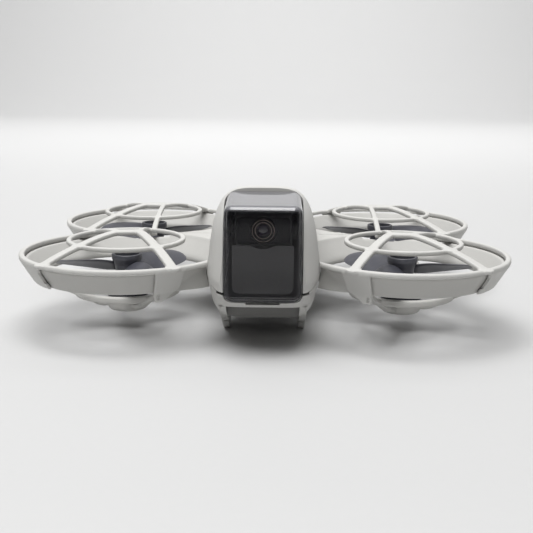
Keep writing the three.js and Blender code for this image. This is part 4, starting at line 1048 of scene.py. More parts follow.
def guard_spokes():
    """The four spokes, their crown piece, and small gussets where they cross the ring and the lip."""
    reach = LIP - LIP_WIDTH / 2 - 0.3
    ends = [(HUB_OUT, polar(reach, LEG_FRONT_OUT), SPOKE_WIDTH),
            (HUB_OUT, polar(reach, LEG_BACK_OUT), SPOKE_WIDTH),
            (HUB_IN, polar(reach, LEG_FRONT_IN), SPOKE_WIDTH),
            (HUB_IN, (HUB_IN[0], ROTOR_Y - 0.4), BACK_SPOKE_WIDTH)]
    parts = []
    for start, end, width in ends:
        path = spoke_path(start, end)
        parts.append(strap(path, width, SPOKE_THICKNESS))
        crossing = min(path, key=lambda p: abs(math.hypot(p[0], p[1]) - GUARD_RING + 0.8))
        for place, radius in ((crossing, width * 0.78), (path[-1], width * 0.8)):
            x, y, z = place
            parts.append(rod(radius, (x, y, z - 0.62), (x, y, z + 0.62), 40))
    level = GUARD_CROWN - SPOKE_THICKNESS / 2 - 0.05
    parts.append(strap([(HUB_IN[0] - 1.2, HUB_IN[1], level), (HUB_OUT[0] + 1.2, HUB_OUT[1], level)],
                       SPOKE_WIDTH + 1.2, SPOKE_THICKNESS))
    return parts


class DRONE_OT_prop_guards(bpy.types.Operator):
    """Models the four moulded guards: lip, ring, spokes, side walls and legs"""
    bl_idname = "drone.prop_guards"
    bl_label = "Propeller Guards"

    def execute(self, context):
        size = shape()
        for pair in ("front", "rear"):
            lip = turned(rounded([
                (LIP - LIP_WIDTH, BAND_TOP + GAP), (LIP, BAND_TOP + GAP), (LIP, LIP_TOP, 0.8),
                (LIP - LIP_WIDTH, LIP_TOP, 0.5)], 0.1, 5))
            sides = wedge(LEG_FRONT_OUT + 2.4, 68, BAND_BOTTOM, 60)
            wall = skirt()
            leg = boolean(twin(wall), leg_form(), "INTERSECT")
            boolean(wall, sides, "INTERSECT")
            deck_side = block(-90, DECK_OUTER + 1.5, 4, 120, 0, GUARD_RING_TOP - SPOKE_THICKNESS - 0.8)
            cut(lip, deck_side)
            ring = turned(framed(GUARD_RING - GUARD_RING_WIDTH, GUARD_RING, GUARD_RING_TOP - SPOKE_THICKNESS,
                                 GUARD_RING_TOP, 0.4, steps=4))
            guard = moulded([lip, wall, leg, ring] + guard_spokes(), size["guard_grain"], 4)
            slot = turn(block(OUTER_THROAT - 3, LIP + 3, -0.5, 0.5, BAND_TOP - 4.9, BAND_TOP - 1.1),
                        LEG_FRONT_OUT + 3.1)
            hole = turn(block(OUTER_THROAT - 3, LIP, 0.55, 1.45, LEG_BOTTOM + 0.7, LEG_BOTTOM + 2.3),
                        LEG_FRONT_IN + LEG_TURN)
            cut(guard, slot, hole, next_duct(), body_from_duct(pair))
            set_down(guard, "prop_guard", pair, FINISHES["guard"], 50)
        return {"FINISHED"}


MOUNT_RING, MOUNT_RING_WIDTH, MOUNT_RING_HEIGHT = 17.1, 1.7, 2.3
MOUNT_RING_BOTTOM = STATOR_BASE + 2.1
MOUNT_BOSS = 6.5
MOUNT_ARM = 1.6
MOUNT_ARM_ANGLES = (-18, 72, 152, -124)


class DRONE_OT_motor_mounts(bpy.types.Operator):
    """Models the motor mounts: boss, ring and four arms under each duct"""
    bl_idname = "drone.motor_mounts"
    bl_label = "Motor Mounts"

    def execute(self, context):
        size = shape()
        boss_top = STATOR_BASE - GAP
        half = MOUNT_ARM / 2
        for pair in ("front", "rear"):
            inner = MOUNT_RING - MOUNT_RING_WIDTH
            ring = turned(framed(inner, MOUNT_RING, MOUNT_RING_BOTTOM, MOUNT_RING_BOTTOM + MOUNT_RING_HEIGHT,
                                 0.6, steps=4))
            boss = turned(rounded([
                (0, MOUNT_LOW.z, 0), (MOUNT_BOSS, MOUNT_LOW.z, 1.6), (MOUNT_BOSS, boss_top, 0.3),
                (0, boss_top, 0)], 0, 6), 96)
            parts = [ring, boss]
            for angle in MOUNT_ARM_ANGLES:
                outer, top = THROAT + DUCT_WALL / 2, BAND_BOTTOM - GAP - half
                height = smooth_through(
                    [MOUNT_BOSS - 1.5, BELL_RADIUS + 0.5, MOUNT_RING - 0.85, outer - 2.5, outer],
                    [boss_top - half, boss_top - half, MOUNT_RING_BOTTOM + half, top - 0.3, top])
                radii = [MOUNT_BOSS - 1.5 + (outer - MOUNT_BOSS + 1.5) * n / 24 for n in range(25)]
                parts.append(strap([(*polar(r, angle), height(r)) for r in radii], 3.0, MOUNT_ARM))
            mount = moulded(parts, size["guard_grain"], 4)
            cut(mount, rod(2.4, (0, 0, MOUNT_LOW.z - 1), (0, 0, MOUNT_LOW.z + 0.5)))
            for n in range(3):
                x, y = polar(4.3, 120 * n + 30)
                cut(mount, rod(0.7, (x, y, MOUNT_LOW.z - 1), (x, y, MOUNT_LOW.z + 0.9), 20))
            cut(mount, next_duct(), body_from_duct(pair))
            set_down(mount, "motor_mount", pair, FINISHES["duct"], 50)
        return {"FINISHED"}


# ---- Motors and propellers ------------------------------------------------------------------------
SCREW_SPREAD = 2.5                          # from the axis to each propeller screw
HUB_FOOT, HUB_RIM = 3.6, 4.9


def stator_shape():
    """Laminated poles with a coil round each; the coils are the second material."""
    core = joined([
        turned(framed(0, BELL_RADIUS - 0.4, STATOR_BASE, STATOR_BASE + 1, 0.15, steps=3), 64),
        turned(section(1.1, 2.2, STATOR_BASE + 0.9, BELL_TOP - 2.4), 48)])
    low, high = STATOR_BASE + 2.4, BELL_TOP - 2.6
    teeth, coils = [core], []
    for n in range(9):
        stem = block(1.9, 4.9, -0.4, 0.4, low + 0.3, high - 0.3)
        shoe = block(4.9, 5.4, -1.2, 1.2, low + 0.2, high - 0.2)
        coil = soften(block(2.6, 4.7, -0.85, 0.85, low, high), 0.35, 3)
        teeth += [turn(stem, 40 * n), turn(shoe, 40 * n)]
        coils.append(turn(coil, 40 * n))
    iron, wire = joined(teeth), joined(coils)
    iron_faces = len(iron.data.polygons)
    whole = joined([iron, wire])
    return whole, iron_faces


def bell_shape():
    """The spinning can: a rounded cup with vents, its shaft and the two propeller screws."""
    bottom = STATOR_BASE + 1.6
    inner = BELL_RADIUS - 0.9
    cup = turned(rounded([
        (0, BELL_TOP - 1, 0), (inner, BELL_TOP - 1, 0.2), (inner, bottom, 0.2),
        (BELL_RADIUS, bottom, 0.25), (BELL_RADIUS, BELL_TOP, 1.0), (0, BELL_TOP, 0)], 0, 5), 96)
    for n in range(6):
        x, y = polar(5.55, 60 * n + 12)
        cut(cup, rod(0.62, (x, y, BELL_TOP - 2), (x, y, BELL_TOP + 1), 24))
    shaft = rod(0.75, (0, 0, STATOR_BASE + 0.4), (0, 0, BELL_TOP - 0.5), 32)
    parts = [cup, shaft]
    for side in (-1, 1):
        x = side * SCREW_SPREAD
        stem = rod(0.72, (x, 0, BELL_TOP - 0.5), (x, 0, HUB_TOP - 1.1), 32)
        head = turned(rounded([(0, 0, 0), (0.8, 0, 0), (0.8, 0.45, 0.2), (0, 0.45, 0)], 0, 4), 32)
        cut(head, turned(section(0, 0.36, 0.25, 1), 6))
        parts += [stem, move(head, x, 0, HUB_TOP - 1.35)]
    return joined(parts)


# Along a blade: share of the reach, chord, pitch in degrees, thickness.
BLADE_STATIONS = [(0.13, 5.6, 36, 1.5), (0.28, 8.2, 34, 1.3), (0.45, 10.2, 29, 1.1),
                  (0.65, 10.6, 24, 0.9), (0.85, 9.4, 20.5, 0.8), (1.0, 6.4, 18, 0.62)]
BLADE_PLANE = HUB_TOP - 4.2
BLADE_COUNT, BLADE_PHASE = 3, 8
REAR_PHASE = -34                            # how much further the rear propellers stand


def blade_shape(rows=30, points=14):
    """One cambered, twisted blade with a rounded tip."""
    chord_at, pitch_at, thickness_at = curves_through(BLADE_STATIONS)
    rings = []
    for row in range(rows + 1):
        share = 0.13 + 0.862 * (row / rows) ** 0.9
        tip = max(share - 0.93, 0) / 0.07
        chord = chord_at(share) * math.sqrt(max(1 - 0.62 * tip ** 2, 0.05))
        lean = math.radians(pitch_at(share))
        thickness = thickness_at(share) * (1 - 0.5 * tip)
        foil = []
        for side in (1, -1):
            for index in range(points):
                t = index / points if side > 0 else 1 - index / points
                half = thickness * 1.9 * math.sqrt(max(t, 0)) * (1 - t) + 0.06
                camber = 0.055 * chord * math.sin(math.pi * t)
                foil.append(((t - 0.5) * chord, camber + side * half / 2))
        radius = share * BLADE_REACH
        ring = []
        for across, lift in foil:
            y = across * math.cos(lean) + lift * math.sin(lean)
            z = lift * math.cos(lean) - across * math.sin(lean)
            ring.append((math.sqrt(max(radius ** 2 - y ** 2, 1)), y, BLADE_PLANE + z))
        rings.append(ring)
    return loft(rings)


def propeller_shape():
    """Three blades on a tapered hub with a rimmed recess over the screws."""
    bottom = BELL_TOP + GAP
    hub = turned(rounded([
        (0, bottom, 0), (HUB_FOOT, bottom, 0.3), (4.0, bottom + 3.2, 1.2), (HUB_RIM, HUB_TOP - 1.5, 0.6),
        (HUB_RIM, HUB_TOP, 0.35), (4.0, HUB_TOP, 0.3), (HUB_FOOT, HUB_TOP - 1.7, 0.2),
        (0, HUB_TOP - 1.7, 0)], 0, 4), 96)
    for side in (-1, 1):
        cut(hub, rod(1.05, (side * SCREW_SPREAD, 0, bottom - 1), (side * SCREW_SPREAD, 0, HUB_TOP + 1), 32))
    step = 360 / BLADE_COUNT
    blades = [turn(blade_shape(), BLADE_PHASE + step * n) for n in range(BLADE_COUNT)]
    return joined([hub] + blades)


class DRONE_OT_rotors(bpy.types.Operator):
    """Models stators, motor bells and propellers for the four corners"""
    bl_idname = "drone.rotors"
    bl_label = "Motors and Propellers"

    def execute(self, context):
        stator, iron_faces = stator_shape()
        for index, face in enumerate(stator.data.polygons):
            face.material_index = 0 if index < iron_faces else 1
        bell, propeller = bell_shape(), propeller_shape()
        for corner in CORNERS:
            finish(corner_copy(stator, corner), f"stator_{corner}_piece", "airframe",
                   [FINISHES["steel"], FINISHES["copper"]])
            finish(corner_copy(bell, corner), f"motor_bell_{corner}_piece", f"rotor_{corner}",
                   FINISHES["dark_metal"])
            blades = twin(propeller)
            turn(blades, 0 if corner.startswith("front") else REAR_PHASE)
            placed = corner_copy(blades, corner)
            bpy.data.objects.remove(blades)
            finish(placed, f"propeller_{corner}_piece", f"rotor_{corner}",
                   FINISHES["blade"], angle=40)
        for spare in (stator, bell, propeller):
            bpy.data.objects.remove(spare)
        return {"FINISHED"}


# ---- Camera, its bracket and its cover -----------------------------------------------------------------
DRUM_RADIUS, DRUM_FLAT = 7.5, 6.2
DRUM_HALF = limits("camera_housing")[1].x
BARREL_BORE = 3.9
ARM_THICKNESS = 1.2
FACE_Y = TILT_Y - DRUM_FLAT


def facing_forward(profile, facets=96):
    """A turned shape on the lens axis; height in the profile is how far it stands out of the face."""
    return move(turn(turned(profile, facets), 90, "X"), 0, FACE_Y, TILT_Z)


def tilt_bar(radius, x0, x1, facets=48):
    return rod(radius, (x0, TILT_Y, TILT_Z), (x1, TILT_Y, TILT_Z), facets)


class DRONE_OT_camera(bpy.types.Operator):
    """Models the tilting camera drum, its glossy face, the stepped lens barrel and the glass"""
    bl_idname = "drone.camera"
    bl_label = "Camera"

    def execute(self, context):
        half = math.acos(DRUM_FLAT / DRUM_RADIUS)
        steps = 56
        turned_by = 2 * math.pi - 2 * half
        angles = [math.pi + half + turned_by * step / steps for step in range(steps + 1)]
        side = [(TILT_Y + DRUM_RADIUS * math.cos(a), TILT_Z + DRUM_RADIUS * math.sin(a)) for a in angles]
        drum = slab(side, -DRUM_HALF, DRUM_HALF)
        soften(drum, 0.7, 4, 50)
        cut(drum, facing_forward(section(0, BARREL_BORE, -5, 4)),
            tilt_bar(BARREL_BORE, DRUM_HALF - 2.6, DRUM_HALF + 1),
            tilt_bar(1.5, -DRUM_HALF - 1, -DRUM_HALF + 2.2))
        for side in (-1, 1):
            for n in range(3):
                x = side * (DRUM_HALF - 1.2 - 0.9 * n)
                groove = cut(tilt_bar(DRUM_RADIUS + 1, x - 0.18, x + 0.18, 96),
                             tilt_bar(DRUM_RADIUS - 0.2, x - 1, x + 1, 96))
                cut(groove, block(-20, 20, TILT_Y - 20, TILT_Y - 3.5, 0, 80))
                cut(drum, groove)
        finish(drum, "camera_housing_piece", "camera", FINISHES["black"])

        low, high = FACE_LOW, FACE_HIGH
        z0, z1 = low.z + 0.15, high.z - 0.15
        outline = framed(low.x, high.x, z0, z1, 1.4)
        face = pushed([(x, FACE_Y - GAP, z) for x, z in outline], (0, -0.6, 0))
        soften(face, 0.15, 3)
        cut(face, facing_forward(section(0, BARREL_BORE, -2, 3)))
        for radius in (4.5, 5.4, 6.6):
            cut(face, facing_forward(section(radius, radius + 0.22, 0.75, 1.2)))
        finish(face, "camera_face_piece", "camera", FINISHES["camera"])

        barrel = facing_forward([
            (0, -2.6), (3.6, -2.6), (3.6, 0.7), (3.5, 0.8), (3.05, 0.8), (2.95, 0.7), (2.75, 0.35),
            (2.45, 0.25), (2.35, 0.0), (2.1, -0.15), (2.0, -0.5), (2.0, -1.4), (0, -1.4)])
        black_faces = len(barrel.data.polygons)
        for radius, height in ((2.3, 0.3), (3.1, 0.78)):
            rim = facing_forward(section(radius, radius + 0.11, height - 0.2, height + 0.04))
            barrel = joined([barrel, rim])
        for index, polygon in enumerate(barrel.data.polygons):
            polygon.material_index = int(index >= black_faces)
        finish(barrel, "lens_barrel_piece", "camera",
               [FINISHES["camera"], FINISHES["rim"]], angle=20)
        angles = [math.radians(degrees) for degrees in range(90, -1, -6)]
        curve = [(1.7 * math.sin(a), -0.95 + 0.8 * math.cos(a)) for a in angles]
        glass = facing_forward([(0, -1.1), (1.7, -1.1)] + curve[:-1] + [(0, -0.15)])
        finish(glass, "lens_glass_piece", "camera", FINISHES["glass"])
        return {"FINISHED"}


class DRONE_OT_gimbal_bracket(bpy.types.Operator):
    """Models the camera's bracket with the dark liner around it, and the tilt motor"""
    bl_idname = "drone.gimbal_bracket"
    bl_label = "Gimbal Bracket"

    def execute(self, context):
        arm_x = DRUM_HALF + 0.45
        back = TILT_Y + DRUM_RADIUS + 0.6
        arms = []
        for side in (-1, 1):
            outline = framed(TILT_Y - 2.6, back + 1, TILT_Z - 2.4, TILT_Z + 2.4, 1.8)
            x0 = arm_x if side > 0 else -arm_x - ARM_THICKNESS
            arms.append(soften(slab(outline, x0, x0 + ARM_THICKNESS), 0.2, 2))
        span = arm_x + ARM_THICKNESS
        bridge = soften(block(-span, span, back, back + 1.3, TILT_Z - 5, TILT_Z + 3.5), 0.3, 3)
        pin = tilt_bar(1.2, -arm_x - 0.5, -DRUM_HALF + 1.9)
        for arm in arms:
            cut(arm, tilt_bar(2.3, arm_x - 1, arm_x + 3))
        liner = block(-12.9, 12.9, back + 0.9, back + 1.7, BELLY + 1.5, CROWN - 2.6)
        sides = [block(x - 0.35, x + 0.35, NOSE + 8.2, back + 1.7, COVER_LOW.z + 1.5, CROWN - 4.6)
                 for x in (-12.4, 12.4)]
        housing = joined([liner] + sides)
        apply_modifier(housing, "REMESH", mode="VOXEL", voxel_size=0.25)
        boolean(housing, body_form(1.6), "INTERSECT")
        bracket = joined(arms + [bridge, pin, housing])
        finish(bracket, "gimbal_bracket_piece", "airframe", FINISHES["black"])
        can = soften(tilt_bar(3.6, DRUM_HALF - 2.3, DRUM_HALF + 0.1, 64), 0.25, 3)
        stub = soften(tilt_bar(2.0, DRUM_HALF, DRUM_HALF + 1.9, 48), 0.25, 3)
        finish(joined([can, stub]), "tilt_motor_piece", "airframe", FINISHES["dark_metal"])
        return {"FINISHED"}


def cover_outline(inset, rear):
    """The clear cover's side outline, shrunk by an inset."""
    top, bottom, front = COVER_HIGH.z - inset, COVER_LOW.z + inset, NOSE + inset
    sole = SHELL_LOW.y + 1.6
    return rounded([(rear, top, 0), (NOSE + 1.0 + inset * 0.8, top - 2.1, 2.4), (front, top - 6.5, 3.0),
                    (front, bottom + 0.5, 3.4), (sole, bottom, 0), (sole, COVER_LOW.z + 4.5, 0),
                    (rear, COVER_LOW.z + 16, 0)], 0, 10)


def cover_solid(inset, corner, steps=8):
    """The clear cover's block, shrunk by an inset, its long edges rounded."""
    rear = COVER_REAR if inset == 0 else COVER_REAR + 6
    half = COVER_HALF - inset
    quarter = [math.pi / 2 * step / steps for step in range(steps + 1)]
    levels = [(half - corner + corner * math.sin(a), corner * (1 - math.cos(a))) for a in quarter]
    levels = [(-x, depth) for x, depth in reversed(levels)] + levels
    return loft([[(x, y, z) for y, z in cover_outline(inset + depth, rear)] for x, depth in levels])


class DRONE_OT_gimbal_cover(bpy.types.Operator):
    """Models the clear cover over the camera and the dark panel inside it"""
    bl_idname = "drone.gimbal_cover"
    bl_label = "Gimbal Cover"

    def execute(self, context):
        size = shape()
        wall, corner = size["cover_wall"], size["cover_corner"]
        cover = cover_solid(0.0, corner)
        half = COVER_HALF - wall
        sill, ceiling = COVER_LOW.z + 3.5, COVER_HIGH.z - 2.4
        opening = slab([(SHELL_LOW.y + 1.2, sill), (TAIL, sill), (TAIL, ceiling), (COVER_REAR - 1.5, ceiling),
                        (COVER_REAR - 1.5, COVER_LOW.z + 15)], -half, half)
        cut(cover, cover_solid(wall, corner - wall), opening)
        corners = rounded([(-COVER_HALF - 5, NOSE - 5, 0), (COVER_HALF + 5, NOSE - 5, 0),
                           (COVER_HALF + 5, COVER_REAR - 3.0, 0), (COVER_HALF, COVER_REAR - 3.0, 0),
                           (COVER_HALF, COVER_REAR, 3.0), (-COVER_HALF, COVER_REAR, 3.0),
                           (-COVER_HALF, COVER_REAR - 3.0, 0), (-COVER_HALF - 5, COVER_REAR - 3.0, 0)], 0, 8)
        boolean(cover, plate(corners, 0, 80), "INTERSECT")
        finish(cover, "gimbal_cover_piece", "cover", FINISHES["cover"], angle=40)
        apply_modifier(cover, "WEIGHTED_NORMAL", keep_sharp=True)

        low, high = MASK_LOW, MASK_HIGH
        foot = low.z - 2.2
        outline = rounded([(low.x, foot, 2.4), (high.x, foot, 2.4), (high.x, high.z, 0.4),
                           (low.x, high.z, 0.4)], 0)
        panel = pushed([(x, low.y + 0.15, z) for x, z in outline], (0, high.y - low.y - 0.15, 0))
        view = rod(6.4, (0, low.y - 2, TILT_Z + 1.8), (0, high.y + 2, TILT_Z + 1.8), 96)
        cut(panel, view)
        soften(panel, 0.2, 3)
        for n in range(4):
            x = -1.0 + 1.9 * n
            cut(panel, rod(0.4, (x, low.y - 1, low.z + 1.9), (x, low.y + 0.3, low.z + 1.9), 20))
        finish(panel, "cover_mask_piece", "cover", FINISHES["mask"])
        return {"FINISHED"}


# ---- Battery, keys and small fittings -------------------------------------------------------------------
CAP_FRONT = SHELL_HIGH.y + GAP
PACK_HALF = 14.1


class DRONE_OT_battery(bpy.types.Operator):
    """Models the slide-out battery with its rounded end cap and the two side latches"""
    bl_idname = "drone.battery"
    bl_label = "Battery"

    def execute(self, context):
        half, top, bottom = STATIONS[-1][1:]
        rings = []
        for step in range(25):
            share = step / 24
            y = CAP_FRONT + (TAIL - CAP_FRONT) * math.sin(share * math.pi / 2)
            shrink = 3.4 * (1 - math.cos(share * math.pi / 2)) ** 1.25
            rings.append(body_ring(y, half - shrink, top - shrink, bottom + shrink))
        cap = loft(rings)
        for side in (-1, 1):
            low, high = limits("battery_latch_left" if side > 0 else "battery_latch_right")
            inner = min(abs(low.x), abs(high.x)) - 1.3
            x0, x1 = sorted((side * inner, side * (HALF_WIDTH + 4)))
            pocket = framed(low.y, high.y, low.z, high.z, 0.9, GAP)
            cut(cap, slab(pocket, x0, x1))
        soften(cap, 0.25, 2)
        wall = 0.9
        pack = block(-PACK_HALF, PACK_HALF, CASE_LOW.y, CAP_FRONT + 0.6, CASE_LOW_PACK, PACK_TOP)
        soften(pack, 0.7, 4)
        mouth = block(-6, 6, CASE_LOW.y - 1, CASE_LOW.y + 2, PACK_TOP - 5, PACK_TOP - 2)
        inside = block(-PACK_HALF + wall, PACK_HALF - wall, CASE_LOW.y + wall, CAP_FRONT - 1,
                       CASE_LOW_PACK + wall, PACK_TOP - wall)
        cut(pack, inside, mouth)
        for side in (-1, 1):
            x = side * (PACK_HALF - 0.35)
            cut(pack, block(x - 0.6, x + 0.6, CASE_LOW.y + 6, CAP_FRONT - 4, PACK_TOP - 8, PACK_TOP - 6.6))
        finish(joined([cap, pack]), "battery_case_piece", "battery", FINISHES["shell"])
        for side, name in ((1, "left"), (-1, "right")):
            low, high = limits(f"battery_latch_{name}")
            outline = framed(low.y, high.y, low.z, high.z, 0.8)
            latch = soften(slab(outline, low.x, high.x), 0.3, 3)
            outer = high.x if side > 0 else low.x
            for n in range(5):
                z = low.z + 1.2 + n * (high.z - low.z - 2.4) / 4
                cut(latch, rod(0.28, (outer, low.y - 1, z), (outer, high.y + 1, z), 16))
            finish(latch, f"battery_latch_{name}_piece", f"latch_{name}", FINISHES["rubber"])
        return {"FINISHED"}


class DRONE_OT_keys(bpy.types.Operator):
    """Models the two round keys, whose tops follow the crown"""
    bl_idname = "drone.keys"
    bl_label = "Buttons"

    def execute(self, context):
        for name in BUTTONS:
            y, radius = button_place(name)
            key = rod(radius, (0, y, TOP_AT(y) - 3.2), (0, y, TOP_AT(y) + 2), 96)
            boolean(key, body_form(-0.2), "INTERSECT")
            dish = rod(radius * 0.72, (0, y, TOP_AT(y) - 1), (0, y, TOP_AT(y) + 3), 96)
            boolean(dish, body_form(-0.02), "DIFFERENCE")
            cut(key, dish)
            soften(key, 0.25, 3, 40)
            finish(key, f"{name}_piece", name.replace("button", "key"), FINISHES["key"])
        return {"FINISHED"}


class DRONE_OT_fittings(bpy.types.Operator):
    """Models the lamps, belly screws, charging port and downward sensor"""
    bl_idname = "drone.fittings"
    bl_label = "Lamps, Screws and Sensor"

    def execute(self, context):
        row, arc = lamp_places()
        for places, name in ((row, "battery_light_pipe"), (arc, "mode_light_pipe")):
            low, _ = limits(name)
            stubs = []
            for x, y in places:
                stub = rod(LAMP_RADIUS, (x, y, low.z + 0.2), (x, y, TOP_AT(y) + 2), 24)
                boolean(stub, body_form(0.12), "INTERSECT")
                stubs.append(soften(stub, 0.12, 2, 50))
            links = [strap([(*a, low.z + 0.8), (*b, low.z + 0.8)], 1.6, 1.2)
                     for a, b in zip(places, places[1:])]
            finish(joined(stubs + links), f"{name}_piece", "airframe", FINISHES["lamp"])
        for number in range(1, 5):
            low, high = limits(f"belly_screw_{number}")
            x, y = (low.x + high.x) / 2, (low.y + high.y) / 2
            head = turned(rounded([(0, 0, 0), (1.15, 0, 0.5), (1.5, 0.45, 0.2), (1.5, 1.1, 0),
                                   (0, 1.1, 0)], 0, 4), 48)
            for angle in (0, 90):
                cut(head, turn(block(-0.85, 0.85, -0.17, 0.17, -1, 0.55), angle + 20 * number))
            stem = rod(0.8, (0, 0, 1), (0, 0, high.z - low.z), 24)
            screw = move(joined([head, stem]), x, y, low.z)
            finish(screw, f"belly_screw_{number}_piece", "airframe", FINISHES["steel"])
        self.port()
        self.sensor()
        return {"FINISHED"}

    def port(self):
        low, high = USB_LOW, USB_HIGH
        outline = framed(low.y, high.y, low.z, high.z, 1.5)
        can = slab(outline, low.x, high.x)
        inner = framed(low.y, high.y, low.z, high.z, 1.2, -0.35)
        cut(can, slab(inner, low.x + 1, high.x + 1))
        middle = (low.z + high.z) / 2
        tongue = block(low.x + 0.8, high.x - 0.8, low.y + 1.3, high.y - 1.3, middle - 0.35, middle + 0.35)
        finish(joined([can, tongue]), "usb_port_piece", "airframe", FINISHES["steel"])

    def sensor(self):
        low, high = WINDOW_LOW, WINDOW_HIGH
        outline = framed(low.x, high.x, low.y, high.y, 1.4)
        window = soften(plate(outline, low.z, high.z), 0.15, 3)
        y = (low.y + high.y) / 2
        eyes = []
        for x in (-high.x / 2, high.x / 2):
            cut(window, rod(2.5, (x, y, low.z - 1), (x, y, high.z + 1), 64))
            eye = turned(rounded([(1.5, 0.0, 0.1), (2.2, 0.0, 0.3), (2.2, 2.4, 0), (0, 2.4, 0), (0, 0.9, 0),
                                  (1.2, 0.7, 0.2)], 0, 4), 64)
            eyes.append(move(eye, x, y, low.z + 0.2))
        finish(window, "sensor_window_piece", "airframe", FINISHES["gloss"])
        tray = block(low.x + 0.5, high.x - 0.5, low.y + 2, high.y - 2, low.z + 2, low.z + 3)
        finish(joined(eyes + [tray]), "downward_sensor_piece", "airframe", FINISHES["glass"])


class DRONE_OT_inner_parts(bpy.types.Operator):
    """Paints the parts inside the body, which keep their frame shapes"""
    bl_idname = "drone.inner_parts"
    bl_label = "Inner Parts"

    def execute(self, context):
        for node, material, slot in (
                ("main_board", "board", "circuit"), ("heat_sink", "steel", "steel"),
                ("positioning_antenna", "ceramic", "ceramic"),
                ("battery_connector", "black", "black_plastic"),
                ("battery_board", "board", "circuit"), ("battery_cell_left", "cell", "cell"),
                ("battery_cell_right", "cell", "cell")):
            paint(node, FINISHES[material])
        return {"FINISHED"}


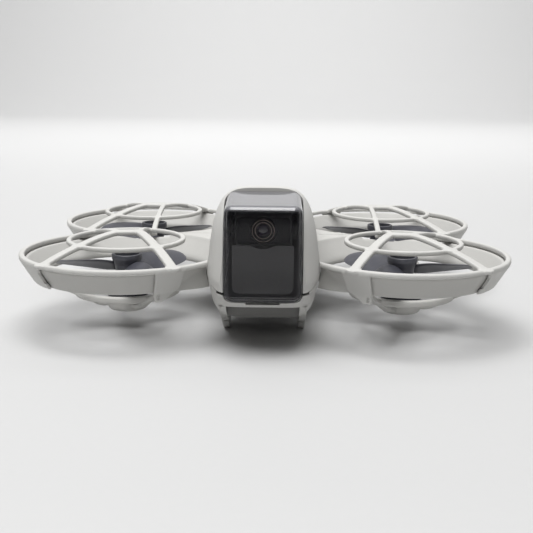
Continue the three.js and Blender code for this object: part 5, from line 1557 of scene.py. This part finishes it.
# ---- Stage ---------------------------------------------------------------------------------------------
class DRONE_OT_stage(bpy.types.Operator):
    """Sets up the pale sweep, the soft lights and the camera"""
    bl_idname = "drone.stage"
    bl_label = "Stage"

    def execute(self, context):
        stage = context.scene.drone_stage
        self.sweep(stage)
        self.lights(stage)
        self.camera(stage)
        return {"FINISHED"}

    def sweep(self, stage):
        front, back, radius, height, half = -2.5, 1.6, 0.9, 2.6, 3.0
        arc = [(back + radius * math.sin(a), radius - radius * math.cos(a))
               for a in (math.radians(9 * n) for n in range(11))]
        line = [(front, 0.0)] + arc + [(back + radius, height)]
        deselect()
        bpy.ops.mesh.primitive_grid_add(x_subdivisions=1, y_subdivisions=len(line) - 1, size=2)
        floor = bpy.context.object
        rows = sorted({round(v.co.y, 5) for v in floor.data.vertices})
        for vertex in floor.data.vertices:
            y, z = line[rows.index(round(vertex.co.y, 5))]
            vertex.co = (half if vertex.co.x > 0 else -half, y, z)
        floor.name = "studio_sweep"
        paper = Finish("sweep_paper")
        fibres = paper.noise(2.0, 3.0)
        tone = tuple(stage.floor_tone)
        paper.set(Base_Color=paper.mix(fibres, shade(tone, 0.99), shade(tone, 1.01)), Roughness=0.7)
        floor.data.materials.append(paper.material)
        solo(floor)
        bpy.ops.object.shade_smooth_by_angle(angle=math.radians(30))

    def lights(self, stage):
        for name, place, target, size, power in (
                ("top_softbox", (-0.10, -0.22, 0.8), (0, 0.0, 0), 0.7, stage.top_light),
                ("back_softbox", (0.0, 0.9, 1.5), (0, 2.2, 0.6), 1.6, stage.back_light)):
            deselect()
            bpy.ops.object.light_add(type="AREA", location=place)
            lamp = bpy.context.object
            lamp.name = name
            lamp.data.shape = "SQUARE"
            lamp.data.size = size
            lamp.data.energy = power
            lamp.rotation_euler = (Vector(target) - Vector(place)).to_track_quat("-Z", "Y").to_euler()
        world = bpy.data.worlds.new("studio_room")
        bpy.context.scene.world = world
        world.use_nodes = True
        nodes, links = world.node_tree.nodes, world.node_tree.links
        background = nodes["Background"]
        background.inputs["Color"].default_value = (1.0, 1.0, 1.0, 1.0)
        # The room is dim behind the camera, so that the front of the drone mirrors little light.
        direction = nodes.new("ShaderNodeTexCoord").outputs["Generated"]
        split = nodes.new("ShaderNodeSeparateXYZ")
        level = nodes.new("ShaderNodeMapRange")
        links.new(direction, split.inputs["Vector"])
        links.new(split.outputs["Y"], level.inputs["Value"])
        for socket, value in (("From Min", -0.55), ("From Max", 0.35), ("To Min", stage.fill * 0.2),
                              ("To Max", stage.fill)):
            level.inputs[socket].default_value = value
        links.new(level.outputs["Result"], background.inputs["Strength"])
        bpy.context.scene.view_settings.view_transform = "Standard"

    def camera(self, stage):
        deselect()
        bpy.ops.object.camera_add(location=tuple(stage.camera_place))
        camera = bpy.context.object
        aim = (Matrix.Rotation(stage.camera_yaw, 4, "Z")
               @ Matrix.Rotation(math.pi / 2 - stage.camera_pitch, 4, "X")
               @ Matrix.Rotation(stage.camera_roll, 4, "Z"))
        camera.matrix_world = Matrix.Translation(stage.camera_place) @ aim
        camera.data.lens = stage.focal_length
        camera.data.sensor_width = 36.0
        camera.data.shift_x = 0.004
        bpy.context.scene.camera = camera


class DRONE_PT_pieces(bpy.types.Panel):
    """Lists the pieces of the drone and the settings that they follow"""
    bl_idname = "DRONE_PT_pieces"
    bl_label = "Camera Drone"
    bl_space_type = "VIEW_3D"
    bl_region_type = "UI"
    bl_category = "Drone"

    def draw(self, context):
        layout = self.layout
        for group in (context.scene.drone_shape, context.scene.drone_finish, context.scene.drone_stage):
            column = layout.column(align=True)
            for name in group.__annotations__:
                column.prop(group, name)
        column = layout.column(align=True)
        for operator in OPERATORS:
            column.operator(operator.bl_idname)


OPERATORS = (
    DRONE_OT_upper_shell, DRONE_OT_lower_shell, DRONE_OT_ducts, DRONE_OT_prop_guards,
    DRONE_OT_motor_mounts, DRONE_OT_rotors, DRONE_OT_camera, DRONE_OT_gimbal_bracket,
    DRONE_OT_gimbal_cover, DRONE_OT_battery, DRONE_OT_keys, DRONE_OT_fittings,
    DRONE_OT_inner_parts, DRONE_OT_stage)
GROUPS = {"drone_shape": DroneShape, "drone_finish": DroneFinish, "drone_stage": DroneStage}


def register():
    for made in (*GROUPS.values(), *OPERATORS, DRONE_PT_pieces):
        bpy.utils.register_class(made)
    for name, group in GROUPS.items():
        setattr(bpy.types.Scene, name, bpy.props.PointerProperty(type=group))


def unregister():
    for name in GROUPS:
        delattr(bpy.types.Scene, name)
    for made in reversed((*GROUPS.values(), *OPERATORS, DRONE_PT_pieces)):
        bpy.utils.unregister_class(made)


def main():
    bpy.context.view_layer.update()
    register()
    FINISHES.update(make_finishes())
    for operator in OPERATORS:
        group, name = operator.bl_idname.split(".")
        getattr(getattr(bpy.ops, group), name)()
    deselect()


if __name__ == "__main__":
    main()
